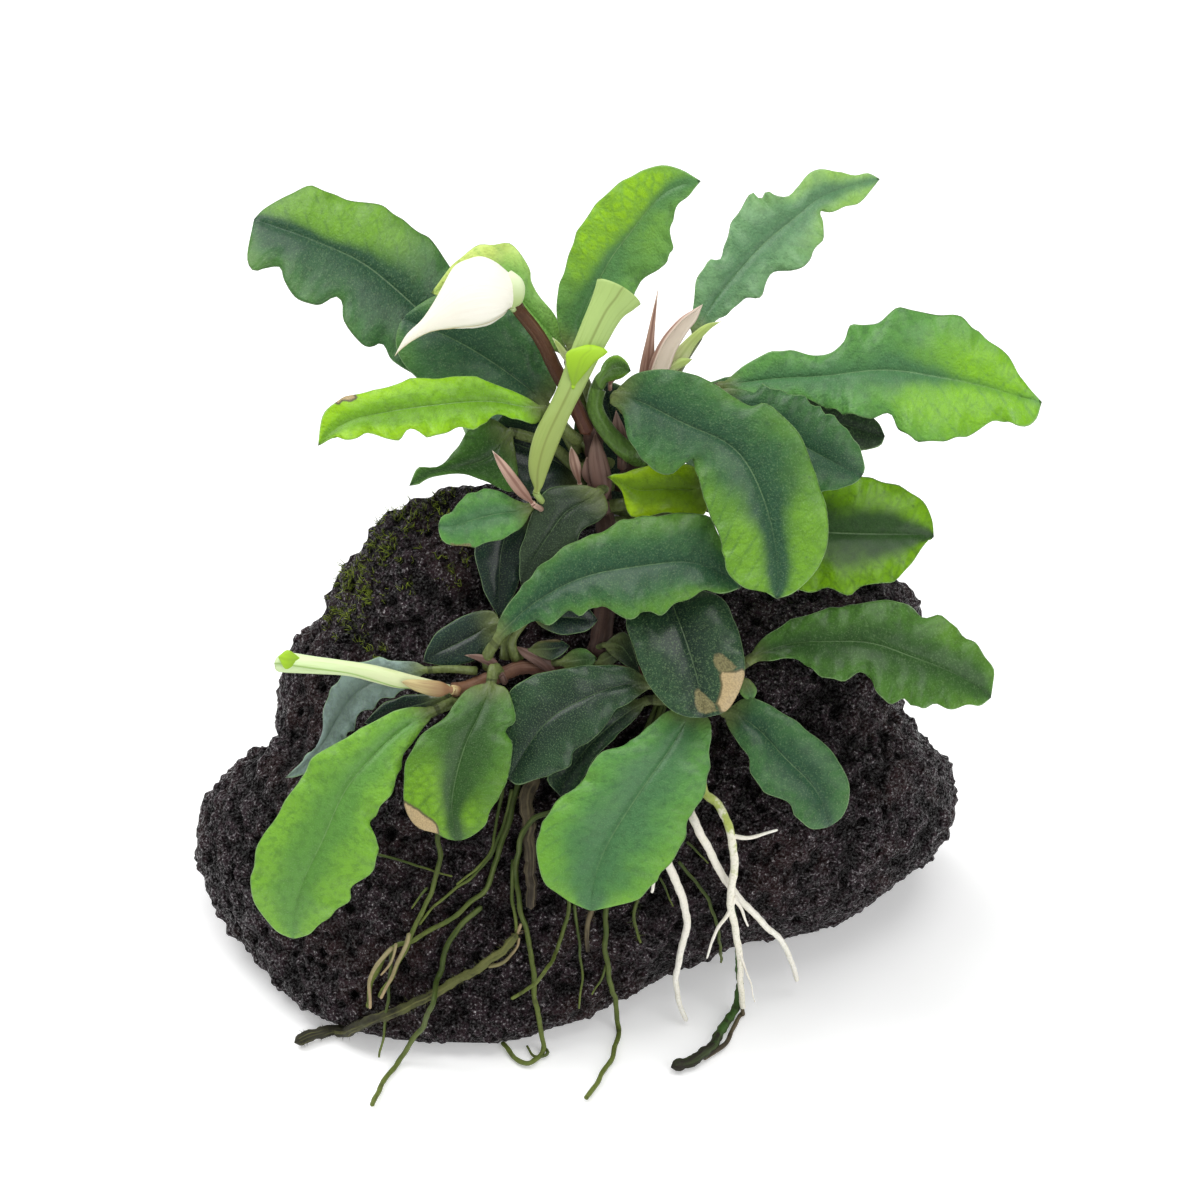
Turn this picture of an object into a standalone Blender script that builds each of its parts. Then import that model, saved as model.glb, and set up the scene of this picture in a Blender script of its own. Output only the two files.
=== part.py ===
"""Bucephalandra growing on a piece of lava stone: stone, rhizomes, leaves, sheaths, spathe and roots.

Lengths are in millimetres and become metres where a mesh is made. The origin is in the middle of the
stone's flat resting face, +Z is up and the plant leans towards -Y.

The plant is laid out on the lines of sight of one reference view, which looks along +Y and down at
VIEW_ELEVATION. A point is given as its column and row in that view's picture and as `near`, how far
it stands from the origin towards the viewer.
"""
import math
from typing import NamedTuple

import bmesh
import bpy
import numpy as np
from mathutils import Vector, noise
from mathutils.bvhtree import BVHTree

MM = 0.001

# The reference view
VIEW_ELEVATION = math.radians(38.0)
VIEW_DISTANCE = 750.0
PICTURE_PIXELS = 1200
PICTURE_WIDTH = 175.0
PICTURE_ACROSS = 2.9
PICTURE_UP = 42.3
PIXEL = PICTURE_WIDTH / PICTURE_PIXELS
MIDDLE = PICTURE_PIXELS / 2
SIN = math.sin(VIEW_ELEVATION)
COS = math.cos(VIEW_ELEVATION)
TO_VIEWER = Vector((0.0, -COS, SIN))

# The stone
STONE_FRONT = 37.0
STONE_BACK_Y = 28.0
STONE_RIM_LIFT = 1.0
STONE_RIM_SOFTNESS = 12.0
STONE_SPOKES = 72
STONE_FRONT_RINGS = 15
STONE_BACK_RINGS = 8
STONE_FRONT_SQUARENESS = 2.8
STONE_BACK_SQUARENESS = 2.2
STONE_GRAIN = 13.0
STONE_FINER_GRAIN = 6.2
STONE_GRAIN_HEIGHT = 1.1
STONE_LUMP_SPACING = 8.3
STONE_LUMP_HEIGHT = 2.8
STONE_LUMP_LEVEL = 0.42
STONE_RIM_CALM = 0.6
STONE_MIDDLE = Vector((0.0, 0.0, 25.0))
STONE_HUB = (575.0, 765.0)
STONE_OUTLINE = [
    (475, 482), (429, 494), (392, 508), (372, 526), (364, 546), (338, 562), (331, 588), (321, 614),
    (298, 636), (280, 684), (272, 740), (246, 753), (222, 773), (203, 800), (193, 835), (197, 865),
    (214, 910), (232, 938), (269, 978), (313, 1014), (366, 1034), (430, 1041), (500, 1041),
    (544, 1028), (620, 1001), (668, 973), (699, 959), (761, 940), (830, 928), (889, 893),
    (919, 871), (944, 856), (955, 838), (948, 818), (955, 800), (963, 777), (946, 756), (927, 738),
    (916, 720), (897, 704), (903, 655), (924, 612), (924, 594), (909, 582), (896, 572), (855, 566),
    (800, 556), (740, 545), (680, 530), (620, 515), (560, 500), (510, 488)]

# Column, row, reach in pixels and height in millimetres of the stone's broad swellings and hollows
STONE_LUMPS = [
    (430, 570, 60, 2.0), (250, 830, 55, 1.5), (860, 800, 70, 1.5), (640, 960, 60, 1.0),
    (310, 705, 35, -2.5), (385, 655, 30, -2.5), (780, 660, 60, -2.0), (860, 620, 45, 1.0),
    (520, 940, 40, -1.0), (760, 860, 50, -1.0), (400, 930, 70, 1.0)]

# Fits and thicknesses
GAP = 0.42
FLOOR_GAP = 0.35
LEAF_HALF_THICKNESS = 0.42
STALK_RADIUS = 0.75
STALK_RINGS = 4
SPLINE_STEPS = 10
SETTLE_ROUNDS = 7
SIGHT_START = 120.0
SIGHT_END = -60.0
PLANE_TOLERANCE = 0.01
SHARP_ANGLE = math.radians(50)
FULL_TURN = 2 * math.pi

# Roughness of the surfaces
STONE_ROUGHNESS = 0.7
LEAF_ROUGHNESS = 0.5
STRAND_ROUGHNESS = 0.6

# Colours, linear red, green and blue
DARK_GREEN = (0.035, 0.105, 0.045)
MID_GREEN = (0.075, 0.22, 0.05)
LIME_GREEN = (0.22, 0.45, 0.04)
PALE_GREEN = (0.48, 0.62, 0.24)
GREY_GREEN = (0.15, 0.24, 0.16)
LAVA_BLACK = (0.022, 0.017, 0.016)
PINK_BROWN = (0.30, 0.15, 0.11)
DARK_BROWN = (0.12, 0.04, 0.025)
SPATHE_WHITE = (0.88, 0.84, 0.76)
ROOT_IVORY = (0.78, 0.74, 0.62)
ROOT_GREEN = (0.10, 0.16, 0.03)
ROOT_BROWN = (0.09, 0.07, 0.045)


class Blade(NamedTuple):
    """A leaf, sheath or spathe: a stalk, then two edges that meet at a tip.

    stalk holds (column, row, near) points and ends where the blade begins. left and right hold the
    (column, row) points of the edges as one looks from the stalk to the tip. near holds the depth of
    the midrib half way and at the tip. lean tips the edge that is higher in the picture away from
    the viewer, and fold brings both edges forward. bulk makes the blade a rounded body whose half
    depth is that share of its half width.
    """
    name: str
    stalk: list
    left: list
    right: list
    tip: tuple
    near: tuple
    lean: float = 0.3
    fold: float = 0.1
    stations: int = 13
    radius: float = STALK_RADIUS
    bulk: float = 0.0
    sides: int = 4
    colour: tuple = DARK_GREEN


class Strand(NamedTuple):
    """A root or stem: points of (column, row), which lie on the stone or floor, or with a near."""
    name: str
    path: list
    radius: float
    end_radius: float
    points: int
    colour: tuple
    resolution: int = 0


LEAVES = [
    Blade("leaf_upper_left",
          [(583, 446, 34.0), (540, 405, 34.0), (497, 371, 34.0)],
          [(470, 381), (440, 384), (405, 371), (388, 356), (368, 344), (341, 311), (330, 298), (309, 307),
           (291, 296), (281, 266), (258, 273), (246, 254)],
          [(489, 350), (475, 310), (449, 266), (433, 242), (405, 222), (380, 205), (345, 199),
           (312, 186), (290, 194), (265, 208)],
          (254, 219), (31.0, 25.0), lean=0.45),
    Blade("leaf_behind_spathe_dark",
          [(577, 452, 36.8), (564, 430, 36.9), (546, 407, 37.4)],
          [(520, 412), (480, 408), (440, 394), (415, 376), (402, 362), (396, 345), (397, 332)],
          [(557, 385), (547, 362), (530, 330), (500, 302), (470, 290), (440, 294), (420, 304)],
          (402, 318), (38.6, 38.0), lean=0.15),
    Blade("leaf_behind_spathe_lime",
          [(588, 418, 33.6), (580, 395, 34.4), (567, 356, 35.0)],
          [(540, 345), (520, 330), (500, 318), (470, 308), (445, 300)],
          [(563, 336), (553, 312), (532, 285), (530, 268), (515, 248), (495, 243), (470, 250),
           (450, 268)],
          (431, 293), (34.8, 34.6), lean=0.1, colour=LIME_GREEN),
    Blade("leaf_top_centre",
          [(596, 420, 34.6), (588, 390, 36.0), (572, 352, 37.6)],
          [(562, 340), (557, 318), (557, 295), (565, 268), (577, 232), (592, 210), (610, 190),
           (635, 174), (660, 165), (682, 170)],
          [(600, 335), (620, 315), (634, 298), (640, 281), (660, 269), (672, 250), (671, 228),
           (677, 208), (690, 194)],
          (701, 181), (40.0, 43.0), lean=0.1, colour=MID_GREEN),
    Blade("leaf_top_right",
          [(652, 404, 34.0), (668, 385, 33.0), (684, 358, 32.6), (697, 338, 32.4)],
          [(689, 325), (694, 313), (693, 295), (708, 265), (722, 255), (735, 213), (753, 193),
           (766, 190), (790, 192), (806, 177), (830, 171), (865, 176)],
          [(715, 330), (740, 306), (757, 298), (766, 282), (780, 271), (801, 270), (819, 247),
           (824, 230), (817, 210), (840, 206), (862, 198), (874, 190)],
          (880, 179), (29.0, 23.0), lean=0.3, stations=15),
    Blade("leaf_right_large",
          [(662, 424, 38.6), (690, 402, 39.2), (718, 387, 39.8)],
          [(745, 365), (770, 352), (795, 351), (825, 356), (843, 342), (852, 324), (875, 325),
           (898, 308), (935, 315), (957, 315), (982, 335), (1006, 354), (1025, 383)],
          [(745, 400), (780, 402), (800, 398), (820, 405), (850, 415), (870, 417), (890, 415),
           (900, 430), (925, 442), (965, 436), (1000, 420), (1018, 427), (1035, 421)],
          (1042, 402), (41.0, 43.5), lean=0.35, stations=15, colour=MID_GREEN),
    Blade("leaf_centre_large",
          [(650, 446, 40.0), (638, 428, 41.0), (622, 406, 43.0), (613, 395, 45.0)],
          [(622, 384), (640, 372), (675, 370), (710, 381), (735, 398), (752, 406), (768, 404),
           (800, 435), (817, 478), (828, 515), (827, 545), (817, 570), (795, 592)],
          [(610, 404), (622, 412), (629, 440), (650, 467), (672, 474), (690, 457), (697, 475),
           (706, 505), (720, 540), (727, 570), (742, 587), (765, 592)],
          (777, 599), (51.5, 56.0), lean=0.1, stations=16),
    Blade("leaf_right_notched",
          [(664, 440, 40.6), (690, 412, 42.2), (716, 390, 43.2)],
          [(730, 388), (745, 390), (757, 393), (763, 384), (785, 394), (798, 394), (822, 410),
           (840, 422), (858, 445), (865, 467)],
          [(712, 410), (725, 440), (760, 470), (800, 488), (822, 492), (845, 487), (857, 482)],
          (862, 476), (46.0, 45.0), lean=0.05),
    Blade("leaf_right_olive",
          [(662, 432, 35.0), (700, 412, 35.6), (738, 404, 36.0)],
          [(760, 392), (800, 394), (840, 401), (862, 410), (878, 422)],
          [(760, 422), (800, 436), (840, 446), (862, 450), (880, 446)],
          (885, 436), (37.4, 38.0), lean=0.2, stations=9),
    Blade("leaf_right_bright",
          [(618, 505, 38.0), (660, 500, 38.6), (700, 505, 39.2), (735, 515, 39.6)],
          [(755, 490), (790, 474), (835, 476), (860, 476), (882, 481), (903, 488), (922, 500),
           (932, 519)],
          [(750, 550), (775, 580), (802, 592), (825, 588), (848, 595), (862, 587), (895, 580),
           (912, 563), (926, 541)],
          (934, 537), (42.0, 41.0), lean=0.35, colour=LIME_GREEN),
    Blade("leaf_crown_yellow",
          [(668, 452, 38.6), (690, 447, 39.8), (712, 460, 41.0), (712, 482, 41.8)],
          [(706, 512), (692, 518), (670, 513), (645, 517), (630, 517), (624, 497), (618, 485)],
          [(700, 470), (680, 463), (645, 466), (625, 473), (614, 474)],
          (607, 477), (42.2, 41.5), lean=0.1, stations=11, colour=LIME_GREEN),
    Blade("leaf_front_horizontal",
          [(489, 667, 41.4), (488, 654, 41.6), (497, 641, 42.5)],
          [(499, 620), (523, 585), (556, 553), (585, 537), (600, 533), (620, 521), (650, 516),
           (680, 514), (706, 515), (722, 540), (736, 570)],
          [(525, 626), (536, 620), (550, 626), (567, 611), (580, 615), (600, 606), (620, 616),
           (634, 619), (645, 611), (661, 615), (675, 604), (690, 598), (707, 590), (722, 594)],
          (741, 588), (47.0, 48.5), lean=0.3, stations=16, colour=MID_GREEN),
    Blade("leaf_left_bright",
          [(577, 440, 39.2), (563, 428, 41.2), (545, 410, 43.0)],
          [(536, 424), (514, 418), (497, 418), (472, 433), (452, 428), (432, 438), (402, 433),
           (388, 442), (374, 435), (360, 442), (345, 445), (335, 437)],
          [(528, 398), (505, 388), (472, 376), (443, 378), (415, 378), (383, 388), (352, 395),
           (338, 400), (325, 412), (320, 428)],
          (318, 446), (46.0, 47.5), lean=0.35, stations=15, colour=LIME_GREEN),
    Blade("leaf_left_dark",
          [(578, 468, 35.8), (550, 445, 35.8), (512, 432, 36.2)],
          [(518, 460), (519, 480), (510, 492), (477, 482), (449, 478), (432, 475), (418, 486)],
          [(490, 418), (468, 430), (455, 451), (438, 466), (418, 468)],
          (409, 486), (37.6, 38.5), lean=0.3),
    Blade("leaf_left_small",
          [(542, 507, 39.2), (533, 505, 40.8)],
          [(531, 512), (522, 527), (505, 537), (477, 546), (458, 546), (445, 543), (440, 536)],
          [(528, 504), (514, 499), (497, 490), (477, 491), (461, 499), (452, 512), (442, 516)],
          (438, 526), (42.6, 43.0), lean=0.2, stations=11, radius=0.6, colour=MID_GREEN),
    Blade("leaf_crown_hanging",
          [(598, 474, 39.7), (598, 486, 40.1)],
          [(606, 498), (608, 510), (600, 520), (583, 530), (575, 545), (559, 557), (545, 568),
           (533, 578)],
          [(585, 485), (560, 486), (545, 491), (537, 503), (528, 525), (521, 548), (519, 572)],
          (521, 585), (41.2, 40.0), lean=0.1, stations=11),
    Blade("leaf_shaded_vertical",
          [(545, 517, 36.6), (530, 510, 37.0), (520, 505, 37.2)],
          [(529, 520), (528, 550), (520, 580), (508, 605)],
          [(500, 510), (480, 530), (475, 550), (478, 570), (486, 595)],
          (499, 618), (38.0, 37.4), lean=0.1, stations=10),
    Blade("leaf_shaded_left",
          [(506, 658, 39.6), (506, 642, 39.0), (500, 624, 38.4)],
          [(496, 640), (480, 656), (466, 664), (445, 666)],
          [(495, 612), (478, 611), (455, 620), (438, 632), (427, 648)],
          (423, 662), (38.6, 38.2), lean=0.1, stations=10),
    Blade("leaf_rolled_left",
          [(458, 688, 41.4), (450, 687, 41.6)],
          [(437, 690), (418, 688), (396, 688), (376, 683), (348, 677), (317, 675), (292, 673)],
          [(437, 680), (418, 675), (376, 668), (337, 659), (301, 655), (287, 652)],
          (277, 664), (43.4, 41.0), lean=0.0, radius=0.8, bulk=0.85, sides=6, colour=PALE_GREEN),
    Blade("leaf_underside_grey",
          [(476, 671, 41.6), (450, 669, 41.4), (428, 670, 41.0)],
          [(404, 690), (382, 701), (362, 713), (352, 730), (335, 748), (316, 764), (300, 776)],
          [(416, 662), (396, 661), (376, 658), (348, 666), (338, 679), (327, 698), (323, 715),
           (322, 738), (310, 752), (295, 768)],
          (285, 778), (39.6, 37.0), lean=0.05, radius=0.5, colour=GREY_GREEN),
    Blade("leaf_low_left",
          [(461, 700, 41.2), (447, 705, 41.7), (434, 711, 42.2)],
          [(430, 720), (419, 733), (404, 756), (400, 770), (394, 785), (390, 797), (379, 810),
           (370, 822), (377, 838), (377, 858), (369, 875), (352, 888), (348, 901), (322, 922),
           (310, 934)],
          [(424, 707), (404, 708), (388, 714), (360, 729), (337, 743), (312, 757), (304, 775),
           (290, 793), (275, 819), (257, 845), (254, 867), (250, 885), (256, 905), (275, 930)],
          (293, 939), (45.0, 38.0), lean=0.15, stations=16, colour=MID_GREEN),
    Blade("leaf_low_centre",
          [(494, 668, 42.6), (491, 684, 42.8)],
          [(505, 687), (512, 700), (515, 721), (506, 731), (512, 745), (511, 765), (503, 790),
           (492, 808), (486, 824), (472, 836)],
          [(480, 684), (466, 690), (452, 707), (447, 716), (430, 728), (416, 743), (407, 760),
           (403, 790), (407, 812), (418, 828), (435, 833), (447, 839)],
          (459, 841), (46.6, 44.5), lean=0.05, stations=15, colour=MID_GREEN),
    Blade("leaf_low_dark",
          [(672, 688, 41.8), (655, 685, 42.2)],
          [(640, 695), (623, 707), (614, 712), (598, 735), (575, 751), (570, 766), (555, 773),
           (535, 780), (518, 785)],
          [(630, 668), (598, 665), (553, 670), (520, 682), (506, 700), (500, 730), (503, 765)],
          (509, 780), (43.6, 42.0), lean=0.1),
    Blade("leaf_low_shaded",
          [(680, 700, 40.2), (665, 700, 40.0), (648, 700, 39.8)],
          [(638, 716), (623, 730), (605, 748), (591, 764), (580, 785), (572, 797)],
          [(630, 700), (600, 718), (575, 740), (555, 765), (547, 780)],
          (561, 797), (40.0, 39.4), lean=0.0, stations=10),
    Blade("leaf_bottom_large",
          [(700, 697, 42.0), (692, 708, 43.0)],
          [(703, 713), (711, 724), (710, 750), (708, 777), (701, 801), (689, 818), (684, 841),
           (673, 858), (655, 882), (638, 899), (615, 906)],
          [(668, 711), (649, 726), (626, 744), (604, 751), (590, 765), (583, 781), (562, 797),
           (547, 815), (538, 836), (537, 860), (545, 883), (557, 893), (572, 903)],
          (591, 911), (46.6, 44.5), lean=0.05, stations=16, colour=MID_GREEN),
    Blade("leaf_patched",
          [(622, 552, 39.0), (645, 572, 40.6), (667, 588, 42.0)],
          [(700, 590), (722, 598), (732, 615), (741, 640), (745, 662), (743, 682), (736, 698),
           (725, 712)],
          [(637, 602), (626, 622), (633, 646), (642, 672), (655, 694), (671, 710), (687, 717)],
          (704, 718), (47.4, 49.5), lean=0.0, stations=12),
    Blade("leaf_right_low",
          [(716, 689, 41.6), (732, 672, 42.8), (748, 661, 43.6)],
          [(759, 642), (784, 624), (814, 612), (850, 605), (876, 601), (903, 602), (921, 616),
           (940, 616), (955, 625), (963, 637), (976, 642), (985, 658), (994, 670), (993, 685)],
          [(765, 661), (793, 659), (805, 664), (823, 677), (845, 680), (860, 673), (870, 677),
           (877, 694), (893, 703), (905, 700), (921, 709), (935, 703), (948, 710), (967, 705),
           (980, 706)],
          (991, 698), (46.0, 43.0), lean=0.35, stations=16, colour=MID_GREEN),
    Blade("leaf_right_bottom",
          [(715, 702, 42.0), (724, 712, 42.6)],
          [(744, 698), (759, 700), (790, 717), (808, 731), (826, 746), (840, 763), (849, 785),
           (849, 801), (842, 817)],
          [(726, 722), (732, 734), (747, 755), (752, 775), (766, 793), (788, 803), (799, 820),
           (812, 829)],
          (829, 827), (45.0, 41.0), lean=0.2),
    Blade("leaf_young_rolled",
          [(543, 501, 42.8), (536, 493, 43.2)],
          [(528, 473), (527, 455), (530, 440), (538, 418), (552, 395), (560, 378), (568, 355),
           (578, 325), (590, 300), (595, 283)],
          [(541, 481), (541, 468), (545, 450), (562, 420), (573, 400), (590, 375), (605, 350),
           (620, 330), (641, 311), (643, 304)],
          (618, 288), (46.8, 49.5), lean=0.0, radius=0.5, bulk=0.55, sides=6, colour=PALE_GREEN),
    Blade("leaf_crown_folded",
          [(626, 450, 40.6), (608, 432, 41.0), (595, 408, 41.6), (599, 384, 42.0)],
          [(601, 368), (608, 358), (618, 355), (627, 362)],
          [(612, 381), (622, 378)],
          (631, 371), (42.4, 42.4), lean=0.0, stations=7, radius=1.15),
    Blade("leaf_under_horizontal",
          [(516, 659, 41.2), (512, 640, 41.6), (530, 614, 42.4)],
          [(545, 604), (565, 600), (585, 605)],
          [(540, 626), (552, 632), (565, 635), (580, 633), (590, 629)],
          (598, 620), (43.4, 43.0), lean=0.1, stations=8, radius=0.6),
    Blade("leaf_small_green",
          [(549, 662, 41.3), (557, 663, 41.4)],
          [(563, 657), (574, 649), (586, 649)],
          [(572, 671), (588, 670)],
          (597, 658), (41.5, 41.3), lean=0.0, stations=7, radius=0.5, colour=MID_GREEN),
    Blade("leaf_back_left",
          [(586, 462, 32.8), (570, 442, 26.0), (547, 424, 19.0)],
          [(528, 458), (498, 464), (468, 440)],
          [(540, 388), (510, 366), (478, 364)],
          (452, 392), (6.0, -8.0), lean=0.1, stations=9),
    Blade("leaf_back_right",
          [(612, 462, 32.6), (640, 446, 26.0), (675, 432, 18.0)],
          [(688, 396), (724, 378), (766, 386)],
          [(690, 468), (728, 480), (770, 454)],
          (792, 418), (6.0, -6.0), lean=0.1, stations=9),
    Blade("leaf_back_low",
          [(606, 492, 32.6), (612, 494, 26.0), (618, 504, 17.0)],
          [(652, 512), (678, 542), (664, 574)],
          [(588, 520), (570, 548), (586, 576)],
          (628, 594), (1.0, -19.0), lean=-0.5, stations=9),
]

SHEATHS = [
    Blade("sheath_spike",
          [(642, 379, 38.6), (645, 368, 39.4)],
          [(644, 345), (651, 315)], [(654, 345), (657, 315)], (659, 285), (40.0, 41.0),
          lean=0.0, stations=5, radius=0.7, bulk=0.4, colour=PINK_BROWN),
    Blade("sheath_pink",
          [(654, 378, 40.0), (658, 366, 40.4)],
          [(655, 350), (670, 328), (690, 310)], [(670, 350), (684, 334), (697, 316)], (703, 305),
          (41.2, 41.8), lean=0.0, stations=6, radius=0.7, bulk=0.4, colour=PINK_BROWN),
    Blade("sheath_spear",
          [(662, 384, 38.0), (668, 366, 38.2)],
          [(682, 341), (704, 323)], [(690, 347), (708, 328)], (722, 322), (38.4, 38.6),
          lean=0.0, stations=5, radius=0.5, bulk=0.4, colour=LIME_GREEN),
    Blade("sheath_left",
          [(537, 506, 43.4), (529, 499, 44.0)],
          [(513, 492), (499, 470)], [(523, 484), (506, 464)], (492, 450), (44.6, 45.0),
          lean=0.0, stations=6, radius=0.6, bulk=0.5, colour=PINK_BROWN),
    Blade("sheath_crown",
          [(608, 508, 38.3), (606, 498, 38.4)],
          [(596, 478), (589, 455)], [(611, 478), (603, 455)], (593, 440), (38.5, 38.4),
          lean=0.0, stations=6, radius=0.7, bulk=0.35, colour=DARK_BROWN),
    Blade("sheath_rolled_leaf",
          [(459, 693, 43.4), (452, 692, 43.6)],
          [(432, 697), (416, 692)], [(432, 689), (416, 685)], (404, 684), (44.6, 44.6),
          lean=0.0, stations=6, radius=0.5, bulk=0.5, colour=PINK_BROWN),
]

SPATHE = Blade(
    "spathe",
    [(515, 302, 45.0), (511, 299, 45.6)],
    [(505, 316), (490, 326), (470, 331), (450, 331), (430, 334), (415, 340), (402, 348)],
    [(514, 280), (500, 264), (480, 255), (462, 260), (448, 272), (436, 298), (415, 323), (400, 341)],
    (394, 357), (46.5, 46.0), lean=0.0, stations=12, radius=0.9, bulk=0.85, sides=8,
    colour=SPATHE_WHITE)

STEMS = [
    Strand("rhizome_creeping",
           [(468, 687, 40.0), (484, 682, 40.0), (517, 668, 40.0), (545, 669, 39.4), (590, 668, 38.9),
            (650, 676, 39.2), (705, 692, 39.8)],
           1.0, 0.9, 14, DARK_BROWN, 1),
    Strand("rhizome_crown",
           [(598, 652, 38.9), (606, 600, 37.6), (607, 545, 36.4), (602, 500, 36.0), (595, 455, 36.2),
            (592, 432, 36.6)],
           1.5, 1.3, 9, DARK_BROWN, 1),
    Strand("shoot_left", [(587, 507, 37.2), (570, 508, 37.3), (549, 508, 37.1)],
           1.0, 0.9, 4, DARK_BROWN, 1),
    Strand("shoot_right",
           [(616, 486, 36.4), (636, 466, 36.8), (650, 430, 37.0), (651, 388, 37.4)],
           1.15, 1.0, 7, DARK_BROWN, 1),
    Strand("flower_stalk",
           [(519, 310, 43.8), (530, 324, 43.4), (542, 341, 43.0), (553, 364, 42.6), (566, 388, 41.8),
            (578, 412, 40.8), (587, 430, 39.8)],
           0.9, 1.05, 10, DARK_BROWN, 1),
]

ROOTS = [
    Strand("root_white_short",
           [(676, 846, 41.0), (679, 880, 38.5), (685, 908, 35.5), (686, 925, 33.5), (681, 950, 30.5),
            (677, 970, 28.0), (679, 992, 25.6), (685, 1020, 23.4)],
           0.65, 0.4, 12, ROOT_IVORY),
    Strand("root_white_right",
           [(690, 806, 41.6), (704, 839, 42.0), (716, 865, 39.0), (731, 889, 36.0), (747, 907, 33.0),
            (764, 926, 29.5), (783, 944, 25.5), (791, 962, 22.5), (797, 980, 20.0)],
           0.65, 0.4, 13, ROOT_IVORY),
    Strand("root_white_long",
           [(703, 790, 41.0), (720, 808, 41.6), (730, 829, 41.8), (733, 849, 41.4), (731, 875, 39.6),
            (733, 903, 37.4), (736, 933, 34.4), (740, 959, 30.4), (741, 990, 26.4), (743, 1007, 23.6)],
           0.6, 0.45, 14, ROOT_IVORY),
    Strand("root_green_left",
           [(439, 828), (440, 855), (435, 882), (424, 908), (409, 940, 35.6), (399, 963, 35.0), (380, 996)],
           0.4, 0.3, 10, ROOT_GREEN),
    Strand("root_forked",
           [(508, 826), (496, 858), (490, 882), (468, 905), (445, 922), (412, 940), (390, 950),
            (376, 972), (369, 996), (368, 1006)],
           0.45, 0.3, 15, ROOT_GREEN),
    Strand("root_forked_long",
           [(481, 907), (459, 926), (446, 951), (438, 978), (433, 1001, 38.9), (424, 1024, 34.5),
            (412, 1041, 31.6), (399, 1061), (384, 1081), (371, 1107)],
           0.4, 0.35, 15, ROOT_GREEN),
    Strand("root_mossy",
           [(516, 935), (498, 955), (478, 968), (452, 983), (425, 998), (395, 1011), (366, 1022),
            (339, 1028), (317, 1034), (298, 1041)],
           0.75, 0.95, 15, ROOT_BROWN, 1),
    Strand("root_hooked",
           [(546, 814, 40.5), (531, 820, 40.4), (520, 842, 39.5), (516, 875), (520, 905), (526, 930),
            (531, 951), (535, 990), (541, 1030), (543, 1050), (531, 1064), (517, 1060), (503, 1041)],
           0.4, 0.35, 19, ROOT_GREEN),
    Strand("root_old",
           [(524, 790), (529, 824), (531, 862), (533, 905)],
           0.85, 0.75, 7, ROOT_BROWN, 1),
    Strand("root_centre",
           [(607, 900), (605, 939), (609, 977), (615, 1000), (618, 1025), (617, 1043), (607, 1066),
            (596, 1084), (586, 1098)],
           0.4, 0.35, 13, ROOT_GREEN),
    Strand("root_side",
           [(569, 900), (566, 923), (556, 951), (543, 975, 38.4), (526, 990), (512, 998)],
           0.35, 0.25, 10, ROOT_GREEN),
    Strand("root_right_floor",
           [(724, 902), (722, 940, 33.4), (731, 975, 27.4), (737, 1000, 22.4), (725, 1028, 24.6),
            (710, 1048), (694, 1060), (675, 1066)],
           0.4, 0.85, 13, ROOT_BROWN),
]


def place(column, row, near):
    """Point in space, in millimetres, of a picture point that stands `near` towards the viewer."""
    scale = PIXEL * (VIEW_DISTANCE - near) / VIEW_DISTANCE
    across = PICTURE_ACROSS + (column - MIDDLE) * scale
    up = PICTURE_UP + (MIDDLE - row) * scale
    return Vector((across, up * SIN - near * COS, up * COS + near * SIN))


def near_at_height(row, height):
    """Depth at which the line of sight through a picture row is at the given height."""
    rise = (MIDDLE - row) * PIXEL
    return (height - COS * (PICTURE_UP + rise)) / (SIN - COS * rise / VIEW_DISTANCE)


def smooth(points, count):
    """`count` points, evenly spaced, along the Catmull-Rom curve through the given points."""
    knots = np.array(points, dtype=float)
    padded = np.vstack([2 * knots[0] - knots[1], knots, 2 * knots[-1] - knots[-2]])
    steps = (np.arange(SPLINE_STEPS) / SPLINE_STEPS)[:, None]
    pieces = []
    for before, start, end, after in zip(padded[:-3], padded[1:-2], padded[2:-1], padded[3:]):
        bend = 2 * before - 5 * start + 4 * end - after
        twist = 3 * start - before - 3 * end + after
        pieces.append(0.5 * (2 * start + (end - before) * steps + bend * steps**2 + twist * steps**3))
    fine = np.vstack([*pieces, knots[-1:]])
    run = np.concatenate([[0.0], np.cumsum(np.linalg.norm(np.diff(fine, axis=0), axis=1))])
    wanted = np.linspace(0.0, run[-1], count)
    return np.column_stack([np.interp(wanted, run, fine[:, axis]) for axis in range(fine.shape[1])])


def finish(name, colour, roughness):
    """A plain material of one colour for the object of that name."""
    material = bpy.data.materials.new(name)
    material.use_nodes = True
    shader = material.node_tree.nodes["Principled BSDF"]
    shader.inputs["Base Color"].default_value = (*colour, 1.0)
    shader.inputs["Roughness"].default_value = roughness
    return material


def add_mesh(name, mesh_data, collection, colour, roughness):
    """Object made of a bmesh in millimetres, with its own material."""
    bmesh.ops.scale(mesh_data, vec=(MM, MM, MM), verts=mesh_data.verts)
    bmesh.ops.recalc_face_normals(mesh_data, faces=mesh_data.faces)
    mesh = bpy.data.meshes.new(name)
    mesh_data.to_mesh(mesh)
    mesh_data.free()
    mesh.materials.append(finish(name, colour, roughness))
    mesh.shade_smooth()
    mesh.set_sharp_from_angle(angle=SHARP_ANGLE)
    thing = bpy.data.objects.new(name, mesh)
    collection.objects.link(thing)
    return thing


def outline_radius():
    """Angle and radius, in pixels about the hub, of the stone's outline in the picture."""
    hub_column, hub_row = STONE_HUB
    spokes = []
    for column, row in STONE_OUTLINE:
        angle = math.atan2(hub_row - row, column - hub_column) % FULL_TURN
        spokes.append((angle, math.hypot(hub_row - row, column - hub_column)))
    spokes.sort()
    return np.array(spokes)


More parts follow.
